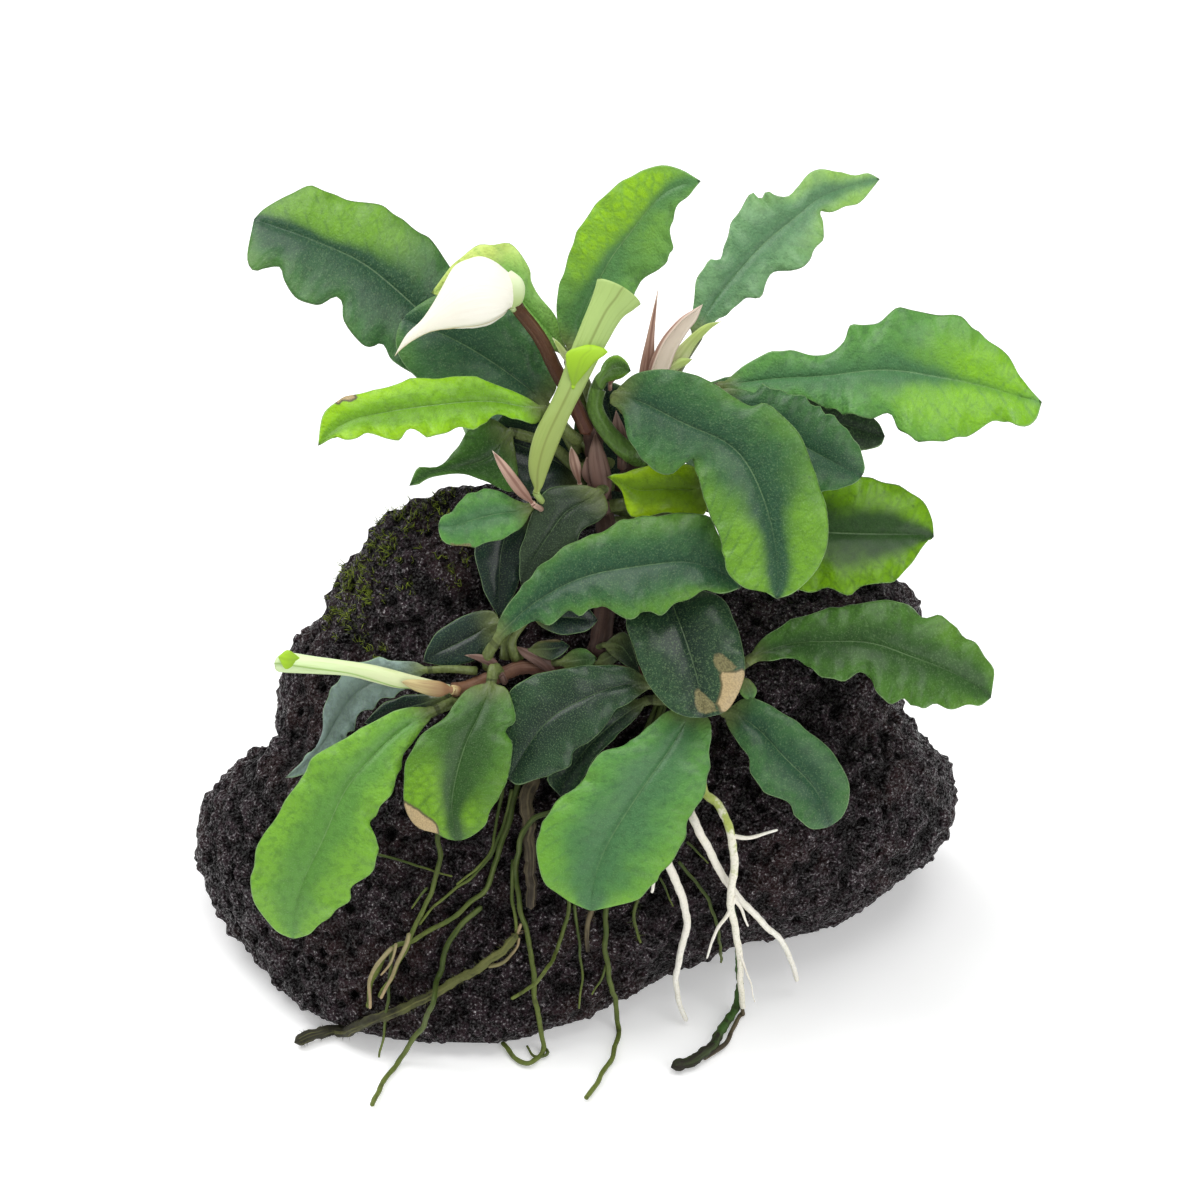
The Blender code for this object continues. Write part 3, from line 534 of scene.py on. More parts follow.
class LeafTone(Enum):
    """The greens of the plant's leaves."""
    DARK = LeafFinish("leaf_dark_green", (0.022, 0.074, 0.034), (0.046, 0.14, 0.04), (0.15, 0.34, 0.02),
        (0.1, 0.18, 0.1))
    DUSK = LeafFinish("leaf_dusky_green", (0.01, 0.03, 0.017), (0.022, 0.062, 0.026), (0.06, 0.16, 0.02),
        (0.06, 0.11, 0.07), speckle=0.3, wax=0.45)
    SHADE = LeafFinish("leaf_shaded_green", (0.004, 0.015, 0.012), (0.01, 0.032, 0.022), (0.05, 0.12, 0.02),
        (0.05, 0.1, 0.06), wax=0.5)
    FOREST = LeafFinish("leaf_forest_green", (0.026, 0.08, 0.014), (0.06, 0.165, 0.022),
        (0.17, 0.38, 0.014), (0.12, 0.22, 0.09), rib_dark=0.25, net=0.3)
    MID = LeafFinish("leaf_mid_green", (0.06, 0.175, 0.062), (0.1, 0.28, 0.055), (0.2, 0.46, 0.012),
        (0.13, 0.24, 0.11), rib_dark=0.15)
    # A paler, greyer green: the leaf's own green with a painted sheen in it.
    GREEN_PAINTED_SHEEN = LeafFinish("leaf_green_painted_sheen", (0.095, 0.22, 0.1), (0.17, 0.34, 0.15), (0.3, 0.54, 0.1),
        (0.2, 0.36, 0.16))
    FRESH = LeafFinish("leaf_fresh_green", (0.105, 0.275, 0.045), (0.175, 0.4, 0.035), (0.27, 0.53, 0.012),
        (0.2, 0.36, 0.12), rib_light=0.4, rib_dark=0.2)
    LEMON = LeafFinish("leaf_lemon_green", (0.14, 0.33, 0.012), (0.22, 0.49, 0.008), (0.3, 0.58, 0.01),
        (0.22, 0.4, 0.1), rib_light=0.5, rib_dark=0.1)
    SPRING = LeafFinish("leaf_spring_green", (0.08, 0.215, 0.062), (0.125, 0.3, 0.06), (0.26, 0.52, 0.012),
        (0.18, 0.34, 0.12), rib_light=0.4, rib_dark=0.3, net=0.3)
    TENDER = LeafFinish("leaf_tender_lime", (0.19, 0.41, 0.08), (0.27, 0.52, 0.11), (0.62, 0.76, 0.18),
        (0.4, 0.6, 0.15), rib_dark=0.1, net=0.1)
    VIVID = LeafFinish("leaf_vivid_lime", (0.02, 0.062, 0.01), (0.105, 0.25, 0.001), (0.15, 0.34, 0.001),
        (0.16, 0.34, 0.03), rib_dark=0.9, speckle=0.05, net=0.25)
    YELLOW = LeafFinish("leaf_yellow_lime", (0.14, 0.27, 0.002), (0.23, 0.42, 0.001), (0.34, 0.56, 0.002),
        (0.25, 0.42, 0.02), speckle=0.05, rib_dark=0.2)
    FOLDED = LeafFinish("leaf_folded_green", (0.045, 0.115, 0.012), (0.1, 0.24, 0.02), (0.22, 0.42, 0.02),
        (0.12, 0.24, 0.06), stalk=(0.1, 0.2, 0.035))
    OLIVE = LeafFinish("leaf_olive", (0.022, 0.04, 0.022), (0.034, 0.058, 0.03), (0.09, 0.12, 0.03),
        (0.09, 0.09, 0.05))
    GREY = LeafFinish("leaf_underside_grey", (0.15, 0.21, 0.185), (0.24, 0.33, 0.305), (0.12, 0.24, 0.06),
        (0.1, 0.17, 0.13), rib_light=0.1, rib_dark=0.0, roughness=0.5)


class Outline(NamedTuple):
    """A blade's rows from its base to its tip: picture points of its midrib and edges, and depth."""
    rib: Array
    calm: tuple[Array, Array]
    edges: tuple[Array, Array]
    near: Array


@dataclass
class Laid:
    """Something laid out by its two edges in the reference view.

    stalk holds (column, row, near) points and ends where the blade begins. left and right hold the
    (column, row) points of the edges as one looks from the stalk to the tip. near holds the depth of
    the midrib half way and at the tip.
    """
    name: str
    stalk: Knots
    left: Knots
    right: Knots
    tip: tuple[float, float]
    near: tuple[float, float]

    EDGE_POINTS = 261
    CALM = 13.0
    RIB_CALM = 0.07
    FEWEST_ROWS = 14
    MOST_ROWS = 120

    @property
    def seed(self) -> int:
        """Seed of this piece's own irregularities."""
        return SEED + sum(ord(letter) * (place + 3) for place, letter in enumerate(self.name))

    def outline(self, pointed: bool = True) -> Outline:
        """The blade's rows, read from its two edges.

        Args:
            pointed: whether the edges meet at the tip.

        Returns:
            The rows.
        """
        start = np.array(self.stalk[-1][:2])
        end = np.array([self.tip]) if pointed else np.empty((0, 2))
        edges = [evenly(through(np.vstack([start, side, end])), self.EDGE_POINTS)
                 for side in (self.left, self.right)]
        calm = [soften(edge, self.CALM) for edge in edges]
        length = run_of((calm[0] + calm[1]) / 2)[-1] * SIGHT.pixel
        rows = int(np.clip(round(length / self.row_step), self.FEWEST_ROWS, self.MOST_ROWS)) + 1
        read_edges, read_calm = [], []
        for fine, soft in zip(edges, calm):
            run = run_of(soft)
            wanted = np.linspace(0.0, run[-1], rows)
            read_edges.append(at_runs(fine, run, wanted))
            read_calm.append(at_runs(soft, run, wanted))
        rib = soften((read_calm[0] + read_calm[1]) / 2, rows * self.RIB_CALM)
        share = np.linspace(0.0, 1.0, rows)
        near = np.polyval(np.polyfit((0.0, 0.5, 1.0), (self.stalk[-1][2], *self.near), 2), share)
        return Outline(rib, tuple(read_calm), tuple(read_edges), near)

    def build(self, materials: dict[Enum, Material]) -> Object:
        """Makes the piece.

        Args:
            materials: the finishes by tone.

        Returns:
            The new object.
        """
        skin = Skin()
        self.add_to(skin)
        stands_for = self.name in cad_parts
        like = self.name if stands_for else self.LIKE
        return show(skin.mesh(self.name + self.SUFFIX), materials[self.tone], like, stands_for)


@dataclass
class Blade(Laid):
    """A leaf: a round stalk that flattens into a veined blade with a wavy margin.

    lean tips the edge that is higher in the picture away from the viewer, and fold brings both edges
    forward. margin and crest say how lime the edges and the tip are, and glow adds lime spots as
    (share of the length, share of the half width, reach, strength); that lime is partly the leaf's own
    colour and partly painted light shining through the thin tissue. ruffle is the depth of the small
    lobes of the left and right margin, and ruffle_length their spacing.
    """
    tone: LeafTone = LeafTone.DARK
    lean: float = 0.3
    fold: float = 0.1
    radius: float = 0.75
    margin: float = 0.35
    crest: float = 0.3
    glow: Knots = field(default_factory=list)
    tan: list[Knots] = field(default_factory=list)
    olive: list[Knots] = field(default_factory=list)
    ruffle: tuple[float, float] = (0.25, 0.25)
    ruffle_length: float = 4.6
    wave: float = 1.2
    camber: float = 0.07
    vein_spacing: float = 3.1
    row_step: float = 0.55
    column_step: float = 0.62
    thickness: float = 0.19

    SUFFIX = "_blade"
    LIKE = "leaf_low_dark"
    WAVE_LIMIT = 1.15
    SMALL_WAVE = 0.16
    GROOVE = 0.24
    GROOVE_WIDTH = 0.42
    QUILT = 0.07
    MERGE = 4.2
    NARROW = 0.9
    STALK_STEP = 0.7
    SINK = 1.3
    REACH = 2.5, 8.0
    OUTSIDE = -5.0
    COLUMNS = 5, 15
    PATTERNS = 97
    PATTERN_STEP = 7.3
    WAVE_LENGTH = 4.6
    UNEVEN_LENGTH = 11.0

    def rooted(self, knots: Array) -> Array:
        """Begins a stalk inside the stem that carries it.

        Args:
            knots: the stalk's points, in millimetres.

        Returns:
            The points, the first one moved or one added on the axis of the nearest stem.
        """
        axes = np.vstack([through(SIGHT.place(stem.path)) for stem in STEMS])
        gaps = np.linalg.norm(axes - knots[0], axis=1)
        if self.REACH[0] < gaps.min() < self.REACH[1]:
            return np.vstack([axes[gaps.argmin()], knots])
        knots[0] -= SIGHT.to_viewer * self.SINK
        return knots

    def columns(self, widest: float) -> Array:
        """Places across the blade, from -1 at the left edge to 1, closer at the rib and edges."""
        count = int(np.clip(round(widest / self.column_step), *self.COLUMNS))
        place = np.linspace(-1.0, 1.0, 2 * count + 1)
        return place - 0.5 * np.sin(FULL_TURN * place) / FULL_TURN

    def limeness(self, share: Array, place: Array, rib: Array) -> Array:
        """How lime each point is: partly the leaf's own colour, partly painted light shining through it.

        Args:
            share: share of the blade's length.
            place: place across it, -1 to 1.
            rib: distance to the midrib in millimetres.

        Returns:
            0 for none to 1 for all, and past those.
        """
        total = self.margin * step_up(np.abs(place), 0.25, 1.0) * step_up(share, -0.1, 0.45)
        total = total + self.crest * step_up(share, 0.35, 1.0)
        for along, across, reach, strength in self.glow:
            gap = np.hypot((share - along) / reach, (place - across) / (2 * reach))
            total = total + strength * np.exp(-gap * gap)
        return total - 0.35 * np.exp(-(rib / 1.5)**2)

    def add_to(self, skin: Skin) -> None:
        """Adds the blade and its stalk to a mesh as one closed part.

        Args:
            skin: the mesh.
        """
        shape = self.outline()
        pixel = SIGHT.pixel
        half = np.linalg.norm(shape.calm[0] - shape.calm[1], axis=1) * pixel / 2
        place = self.columns(2 * half.max())
        away = np.abs(place)
        rows, share = len(half), np.linspace(0.0, 1.0, len(half))
        side_of = (place > 0).astype(int)
        calm = np.stack(shape.calm)[side_of].transpose(1, 0, 2)
        edge = np.stack(shape.edges)[side_of].transpose(1, 0, 2)
        rib = shape.rib[:, None, :]
        lobes = self.lobes(run_of(shape.rib) * pixel)
        outward = unit(calm - rib) * (lobes[:, side_of] * 0.6 / pixel)[..., None]
        picture = rib + (calm - rib) * away[:, None] + (edge - calm + outward) * away[:, None]**4
        tip_back = self.lean * (shape.calm[0][:, 1] - shape.calm[1][:, 1]) * pixel / 2
        rib_mm = away * half[:, None]
        near = shape.near[:, None] - place * tip_back[:, None]
        near = near + self.fold * half[:, None] * away**1.5 + self.heave(shape, half, place, rib_mm)
        base = SIGHT.place(np.concatenate([picture, near[..., None]], axis=-1))

        middle = base[:, len(place) // 2]
        run = run_of(middle)
        across = base[:, -1] - base[:, 0]
        wide = np.flatnonzero(np.linalg.norm(across, axis=1) > self.NARROW)
        first, last = wide[0], wide[-1]
        side = unit(across)
        side[:first], side[last + 1:] = side[first], side[last]
        normal = unit(np.cross(np.gradient(base, axis=1), np.gradient(base, axis=0)))
        normal[:first], normal[last + 1:] = normal[first].mean(axis=0), normal[last].mean(axis=0)
        normal = unit(normal)

        merged = step_up(run, 0.0, self.MERGE)[:, None]
        vein_mm = self.vein_distance(run[:, None], rib_mm)
        lift = -self.QUILT * np.exp(-(vein_mm / 0.5)**2) * 4 * away * (1 - away)

        round_place = -np.cos(np.linspace(0.0, math.pi, len(place)))
        extra = np.maximum(self.radius * (1 - merged[:, 0]) - half, 0.0)[:, None]
        sheet = base + side[:, None] * (round_place * extra)[..., None]
        from_rib = rib_mm + np.abs(round_place) * extra
        round_height = np.sqrt(np.maximum(self.radius**2 - from_rib**2, 0.0))
        body = self.thickness * np.sqrt(1.0 - np.minimum(away, 1.0)**4)
        keel = self.radius * (0.25 + 0.75 * (1.0 - share)**1.3)[:, None]
        keel = keel * (1 - share[:, None]**4)
        ridge = keel * np.exp(-(rib_mm / np.maximum(keel, 0.2))**2)
        front = merged * (lift + body) + (1 - merged) * np.maximum(round_height, body)
        back = merged * (lift - body - ridge) - (1 - merged) * np.maximum(round_height, body)
        front_points, back_points = (sheet + normal * height[..., None] for height in (front, back))
        for rim in (0, -1):
            front_points[:, rim] = back_points[:, rim] = (front_points[:, rim] + back_points[:, rim]) / 2
        rings = np.concatenate([front_points, back_points[:, -2:0:-1]], axis=1)[:-1]

        stalk = self.stalk_rings(round_place, side[first], middle)
        everything = np.concatenate([stalk, rings])
        tip = SIGHT.place([[*self.tip, self.near[1]]])
        root = stalk[0].mean(axis=0, keepdims=True)
        count, around = everything.shape[:2]
        points = np.vstack([everything.reshape(-1, 3), root, tip])
        faces = [loop_faces(count, around), pole_faces(0, around, count * around),
                 pole_faces(count - 1, around, count * around + 1)]

        def spread(values: Array, on_stalk: float = 0.0, at_tip: float = 0.0) -> Array:
            """Carries values on the blade's grid round to the back and along the stalk.

            Args:
                values: the blade's values.
                on_stalk: the stalk's value.
                at_tip: the tip's value.

            Returns:
                One value for each point.
            """
            grid = np.broadcast_to(values, (rows, len(place)))
            ring = np.concatenate([grid, grid[:, -2:0:-1]], axis=1)[:-1]
            lower = np.full((len(stalk), around), on_stalk)
            return np.concatenate([lower.ravel(), ring.ravel(), [on_stalk, at_tip]])

        flat = place * half[:, None], run[:, None], self.seed % self.PATTERNS * self.PATTERN_STEP
        grain = np.stack([spread(axis) for axis in flat], axis=-1)
        lower = len(stalk) * around
        grain[:lower] = points[:lower]
        is_back = np.concatenate([np.zeros(len(place)), np.ones(around - len(place))])
        tan, olive = (self.patch_depth(patches, picture) for patches in (self.tan, self.olive))
        edge_mm = (1.0 - away) * half[:, None]
        skin.add(points, faces, grain=grain,
                 along=spread(share[:, None], 0.0, 1.0), across=spread(away),
                 rib=spread(rib_mm), edge=spread(edge_mm + 0.3 * (1 - merged), 2.0),
                 vein=spread(vein_mm, 1.0, 1.0), stalk=spread(1 - merged, 1.0),
                 lime=spread(self.limeness(share[:, None], place, rib_mm), 0.0, 0.5),
                 tan=spread(tan, self.OUTSIDE, tan[-1, 0]), olive=spread(olive, self.OUTSIDE, olive[-1, 0]),
                 back=np.concatenate([np.tile(is_back, count), [0.0, 0.0]]))

    def lobes(self, run: Array) -> Array:
        """Height of the margin's small lobes at each row, for the left and right side.

        Args:
            run: length along the blade at each row, in millimetres.

        Returns:
            Millimetres, one column for each side.
        """
        ends = step_up(run, 2.0, 7.0) * step_up(run[-1] - run, 1.0, 4.0)
        waves = []
        for side, depth in enumerate(self.ruffle):
            phase = run / self.ruffle_length + 0.22 * ripple(run, self.seed + 31 * side, 14.0)
            lobe = 1.0 - 1.7 * np.abs(np.sin(math.pi * phase))**1.5
            waves.append(depth * ends * lobe * (0.75 + 0.35 * ripple(run, self.seed + side + 3, 19.0)))
        return np.stack(waves, axis=1)

    def heave(self, shape: Outline, half: Array, place: Array, rib_mm: Array) -> Array:
        """How far the blade's surface stands off its plain form.

        Args:
            shape: the blade's rows.
            half: half its width at each row, in millimetres.
            place: places across it, -1 to 1.
            rib_mm: distance of each point to the midrib.

        Returns:
            Millimetres towards the viewer for each row and place.
        """
        away = np.abs(place)
        run = run_of(shape.rib) * SIGHT.pixel
        waves = []
        for side, (calm, edge) in enumerate(zip(shape.calm, shape.edges)):
            out = np.einsum("ij,ij->i", edge - calm, unit(calm - shape.rib)) * SIGHT.pixel
            wave = np.clip(self.wave * out, -self.WAVE_LIMIT, self.WAVE_LIMIT)
            waves.append(wave + self.SMALL_WAVE * ripple(run, self.seed + side, self.WAVE_LENGTH))
        wave = (np.stack(waves, axis=1) - 1.3 * self.lobes(run))[:, (place > 0).astype(int)]
        arch = self.camber * half[:, None] * (1.0 - (2 * away - 1.0)**2)
        droop = 0.04 * half[:, None] * away**3
        groove = self.GROOVE * np.exp(-(rib_mm / self.GROOVE_WIDTH)**2)
        groove = groove * (1.0 - 0.6 * np.linspace(0.0, 1.0, len(half))[:, None])
        uneven = 0.16 * ripple(run[:, None] + 1.7 * place, self.seed + 7, self.UNEVEN_LENGTH) * away
        fade = (step_up(half, 0.5, 3.0) * step_up(run, 0.0, self.MERGE))[:, None]
        return (wave * away**2.6 + arch - droop - groove + uneven) * fade

    def vein_distance(self, run: Array, rib_mm: Array) -> Array:
        """Distance of each point to the nearest side vein, in millimetres."""
        phase = (run - 0.85 * rib_mm - 0.02 * rib_mm**2) / self.vein_spacing
        return np.abs(phase % 1.0 - 0.5) * self.vein_spacing

    def patch_depth(self, outlines: list[Knots], picture: Array) -> Array:
        """How deep each point lies in the nearest patch.

        Args:
            outlines: the patches' corners in the picture.
            picture: the points' places in the picture.

        Returns:
            Millimetres, below 0 outside.
        """
        depth = np.full(picture.shape[:2], self.OUTSIDE)
        for outline in outlines:
            inside = depth_inside(np.array(outline), picture.reshape(-1, 2)) * SIGHT.pixel
            depth = np.maximum(depth, inside.reshape(depth.shape))
        return depth

    def stalk_rings(self, round_place: Array, blade_side: Array, middle: Array) -> Array:
        """Round rings along the stalk, which turn to face as the blade does.

        Args:
            round_place: cosines of the ring's points over the front.
            blade_side: direction across the blade at its base.
            middle: the midrib's points, from the stalk's end on.

        Returns:
            Rings of points.
        """
        line = through(self.rooted(SIGHT.place(self.stalk)))
        count = max(int(run_of(line)[-1] / self.STALK_STEP), 4)
        centres = evenly(line, count + 1)
        ahead = unit(np.gradient(np.vstack([centres, middle[3:4]]), axis=0))[:-1]
        turn = np.linspace(0.0, 1.0, count + 1)[:, None]**2
        side = unit(np.cross(ahead, SIGHT.to_viewer)) * (1 - turn) + blade_side * turn
        side = unit(side - ahead * np.einsum("ij,ij->i", side, ahead)[:, None])
        up = np.cross(side, ahead)
        height = np.sqrt(np.maximum(1.0 - round_place**2, 0.0))
        across = np.concatenate([round_place, round_place[-2:0:-1]])
        tall = np.concatenate([height, -height[-2:0:-1]])
        thick = self.radius * (1.0 + 0.25 * (1.0 - np.linspace(0.0, 1.0, count + 1))**2)
        flat = side[:, None] * across[:, None] + up[:, None] * tall[:, None]
        return (centres[:, None] + flat * thick[:, None, None])[:-1]


@dataclass(frozen=True)
class ScrollFinish:
    """Thin rolled tissue with fine lengthwise lines, paler or darker towards its tip and margin."""
    name: str
    base: Colour
    tip: Colour
    streak: Colour
    margin: Colour
    inside: Colour
    rib: Colour
    rib_strength: float = 0.5
    streaks: float = 0.5
    margin_width: float = 0.35
    change: tuple[float, float] = (0.1, 0.9)
    roughness: float = 0.42
    relief: float = 0.05

    def material(self) -> Material:
        """The finish as a material, which reads the values that Scroll gives its points.

        Returns:
            The material.
        """
        g = Graph(self.name)
        grain = g.vector("grain")
        cloud = g.noise(grain, 2.5, 3.0)
        lines = g.noise(g.stretch(grain, (3.4, 0.16, 1.0)), 1.0, 3.0, 0.6)
        shift = g.value("along") + (cloud - 0.5) * 0.35
        colour = g.mix(g.rise(shift, *self.change), self.base, self.tip)
        colour = g.mix(g.rise(lines, 0.5, 0.72) * self.streaks, colour, self.streak)
        rib = g.rise(g.value("rib"), 0.05, 0.3, 1.0, 0.0) * self.rib_strength
        colour = g.mix(rib, colour, self.rib)
        edge = g.rise(g.value("edge"), 0.3 * self.margin_width, self.margin_width, 1.0, 0.0)
        colour = g.mix(edge, colour, self.margin)
        colour = g.mix(g.value("inside"), colour, self.inside)
        g.bump(lines + cloud * 0.6, self.relief)
        g.shade(Specular_IOR_Level=0.25)
        return g.paint(colour, g.rise(cloud, 0.3, 0.7, self.roughness - 0.04, self.roughness + 0.1))


class ScrollTone(Enum):
    """The rolled and sheathing tissues of the plant."""
    SPATHE = ScrollFinish("spathe_ivory", (0.93, 0.9, 0.8), (0.95, 0.91, 0.76), (0.86, 0.8, 0.68),
        (0.82, 0.7, 0.42), (0.74, 0.78, 0.56), (0.9, 0.87, 0.78), 0.0, 0.3, 0.28, roughness=0.45,
        relief=0.09)
    SPATHE_BASE = ScrollFinish("spathe_base_green", (0.42, 0.54, 0.22), (0.72, 0.82, 0.52),
        (0.64, 0.72, 0.44), (0.8, 0.86, 0.62), (0.5, 0.6, 0.3), (0.6, 0.7, 0.4), 0.0, 0.3)
    YOUNG = ScrollFinish("leaf_young_pale", (0.3, 0.38, 0.1), (0.4, 0.55, 0.18), (0.24, 0.34, 0.07),
        (0.48, 0.62, 0.24), (0.3, 0.46, 0.08), (0.16, 0.17, 0.04), 0.5, 0.3)
    FLAG = ScrollFinish("leaf_young_lime", (0.26, 0.45, 0.02), (0.36, 0.6, 0.03), (0.2, 0.38, 0.02),
        (0.46, 0.66, 0.1), (0.26, 0.48, 0.02), (0.2, 0.3, 0.04), 0.2, 0.3)
    PALE = ScrollFinish("leaf_rolled_pale", (0.66, 0.68, 0.4), (0.66, 0.82, 0.44), (0.5, 0.66, 0.24),
        (0.42, 0.62, 0.2), (0.22, 0.46, 0.06), (0.4, 0.3, 0.12), 0.0, 0.5)
    TAN = ScrollFinish("sheath_tan", (0.26, 0.14, 0.07), (0.55, 0.46, 0.22), (0.28, 0.17, 0.08),
        (0.6, 0.54, 0.28), (0.5, 0.4, 0.25), (0.2, 0.1, 0.05), 0.3, 0.7)
    PINK = ScrollFinish("sheath_pink", (0.27, 0.155, 0.115), (0.55, 0.37, 0.29), (0.17, 0.075, 0.055),
        (0.7, 0.56, 0.46), (0.8, 0.7, 0.58), (0.16, 0.07, 0.045), 0.7, 0.85)
    BROWN = ScrollFinish("sheath_brown", (0.115, 0.062, 0.048), (0.2, 0.125, 0.1), (0.05, 0.025, 0.02),
        (0.3, 0.21, 0.16), (0.2, 0.1, 0.07), (0.07, 0.03, 0.02), 0.5, 0.8)
    SPEAR = ScrollFinish("sheath_lime", (0.58, 0.6, 0.34), (0.44, 0.58, 0.16), (0.32, 0.42, 0.1),
        (0.72, 0.78, 0.48), (0.3, 0.4, 0.1), (0.26, 0.34, 0.08), 0.4, 0.5)


@dataclass
class Scroll(Laid):
    """A rolled sheet on a short stalk: a sheath, a leaf still in its roll, or the hood of a flower.

    bulk is its depth as a share of its width. brink holds the angle in degrees of the sheet's outer
    margin at the base and the tip, where 90 faces the viewer, and turn how many turns the sheet
    covers from there. lap draws the sheet's hidden end inwards. An open scroll ends in a mouth
    instead of a point, and brow is how far the mouth's middle stands out beyond its ends.
    """
    tone: ScrollTone = ScrollTone.PINK
    radius: float = 0.6
    bulk: float = 0.5
    brink: tuple[float, float] = (200.0, 200.0)
    turn: tuple[float, float] = (0.62, 0.62)
    lap: float = 0.1
    thickness: float = 0.3
    mouth: bool = False
    brow: float = 0.0
    row_step: float = 0.4
    columns: int = 26

    SUFFIX = "_scroll"
    LIKE = "sheath_pink"
    MERGE = 1.6
    FLUTE = 0.012
    FLUTES = 9
    STALK_AROUND = 12
    BROW_LENGTH = 5.0
    FAR = 9.0

    def add_to(self, skin: Skin) -> None:
        """Adds the scroll and its stalk to a mesh as two closed parts.

        Args:
            skin: the mesh.
        """
        shape = self.outline(not self.mouth)
        left, right = (SIGHT.place(np.hstack([edge, shape.near[:, None]])) for edge in shape.edges)
        centre = (left + right) / 2
        wide = np.linalg.norm(right - left, axis=1) / 2
        run = run_of(centre)
        side = unit(right - left)
        side[0] = side[1]
        ahead = unit(np.gradient(centre, axis=0))
        up = unit(np.cross(side, ahead))
        merged = step_up(run, 0.0, self.MERGE)
        wide = np.maximum(wide, self.radius * (1 - merged))
        deep = wide * self.bulk * merged + self.radius * (1 - merged)
        rows = len(run) if self.mouth else len(run) - 1
        middle, wide, deep, side, up, run = (part[:rows] for part in (centre, wide, deep, side, up, run))
        share = (run / run[-1])[:, None]
        brink = np.radians(self.brink[0] + (self.brink[1] - self.brink[0]) * share)
        turn = (self.turn[0] + (self.turn[1] - self.turn[0]) * share) * FULL_TURN
        place = np.linspace(0.0, 1.0, self.columns + 1)
        angle = brink - place * turn
        draw = 1.0 - self.lap * place
        flute = 1.0 + self.FLUTE * np.sin(self.FLUTES * angle + self.seed)
        outer = (side[:, None] * (np.cos(angle) * wide[:, None] * draw * flute)[..., None]
                 + up[:, None] * (np.sin(angle) * deep[:, None] * draw * flute)[..., None])
        shrink = 1.0 - self.thickness / np.maximum(wide, 1.6 * self.thickness)
        inner = outer * shrink[:, None, None]
        ring = np.concatenate([outer, inner[:, ::-1]], axis=1) + middle[:, None]
        if self.mouth:
            rise = np.concatenate([np.sin(angle), np.sin(angle)[:, ::-1]], axis=1)
            rise = self.brow * np.abs(rise) * step_up(run, run[-1] - self.BROW_LENGTH, run[-1])[:, None]
            ring = ring + ahead[:, None] * rise[..., None]
        around = ring.shape[1]
        points = ring.reshape(-1, 3)
        faces = [loop_faces(rows, around), self.strip(0, around)]
        if self.mouth:
            faces.append(self.strip(rows - 1, around))
        else:
            points = np.vstack([points, centre[-1:]])
            faces.append(pole_faces(rows - 1, around, rows * around))

        def spread(outside: Array, within: Array) -> Array:
            """Puts values of the outer and inner sheet in the points' order.

            Args:
                outside: the outer sheet's values.
                within: the inner sheet's values.

            Returns:
                One value for each point.
            """
            outside, within = (np.broadcast_to(part, angle.shape) for part in (outside, within))
            grid = np.concatenate([outside, within[:, ::-1]], axis=1).ravel()
            return grid if self.mouth else np.append(grid, grid[-1])

        edge = np.minimum(place, 1.0 - place) * (np.abs(turn) * wide[:, None])
        rib = np.abs(angle - math.pi / 2) * wide[:, None]
        flat = angle * wide.mean(), run[:, None], self.seed % 89
        skin.add(points, faces, grain=np.stack([spread(axis, axis) for axis in flat], axis=-1),
                 along=spread(share, share), edge=spread(edge, edge), rib=spread(rib, self.FAR),
                 inside=spread(0.0, 1.0))
        line = np.vstack([SIGHT.place(self.stalk), centre[1:2]])
        route = evenly(through(line), max(int(run_of(line)[-1] / self.row_step), 4))
        tube = Tube(route, np.full(len(route), 0.96 * self.radius), self.STALK_AROUND)
        far = np.full(tube.count, self.FAR)
        tube.add_to(skin, edge=far, rib=far)

    @staticmethod
    def strip(ring: int, around: int) -> Array:
        """Faces that join the outer and inner half of the ring of that number."""
        here = np.arange(around // 2 - 1)
        return ring * around + np.stack([here, here + 1, around - 2 - here, around - 1 - here], axis=-1)


@dataclass
class Tube:
    """A round strand along a line, closed at both ends."""
    line: Array
    radii: Array
    around: int
    flutes: int = 0

    FLUTE_DEPTH = 0.05
    START_CAP = 0.7
    END_CAP = 0.9

    @property
    def count(self) -> int:
        """How many points the tube has."""
        return len(self.line) * self.around + 2

    def frames(self) -> tuple[Array, Array]:
        """Directions across the line that don't twist along it.

        Returns:
            Two directions for each point.
        """
        ahead = unit(np.gradient(self.line, axis=0))
        start = np.cross(ahead[0], (0.0, 0.0, 1.0))
        if np.linalg.norm(start) < 0.1:
            start = np.cross(ahead[0], (1.0, 0.0, 0.0))
        sides = [unit(start)]
        for direction in ahead[1:]:
            sides.append(unit(sides[-1] - direction * (sides[-1] @ direction)))
        side = np.array(sides)
        return side, np.cross(ahead, side)

    def add_to(self, skin: Skin, **values: Array) -> None:
        """Adds the tube to a mesh.

        Args:
            skin: the mesh.
            values: more values for its points, by name.
        """
        side, up = self.frames()
        angle = FULL_TURN * np.arange(self.around) / self.around
        cosine, sine = np.cos(angle), np.sin(angle)
        flute = 1.0 + (self.FLUTE_DEPTH if self.flutes else 0.0) * np.cos(self.flutes * angle)
        ring = (side[:, None] * cosine[:, None] + up[:, None] * sine[:, None]) * flute[:, None]
        rows = len(self.line)
        surface = self.line[:, None] + ring * self.radii[:, None, None]
        step = self.line[1] - self.line[0], self.line[-1] - self.line[-2]
        ends = np.array([self.line[0] - unit(step[0]) * self.radii[0] * self.START_CAP,
                         self.line[-1] + unit(step[1]) * self.radii[-1] * self.END_CAP])
        points = np.vstack([surface.reshape(-1, 3), ends])
        faces = [loop_faces(rows, self.around), pole_faces(0, self.around, rows * self.around),
                 pole_faces(rows - 1, self.around, rows * self.around + 1)]
        run = run_of(self.line)
        wide = self.radii.mean()
        grain = np.stack(np.broadcast_arrays(cosine * wide, run[:, None], sine * wide), axis=-1)
        grain = np.vstack([grain.reshape(-1, 3), [[0.0, 0.0, 0.0], [0.0, run[-1], 0.0]]])
        along = np.append(np.repeat(run / run[-1], self.around), [0.0, 1.0])
        skin.add(points, faces, grain=grain, along=along, **values)


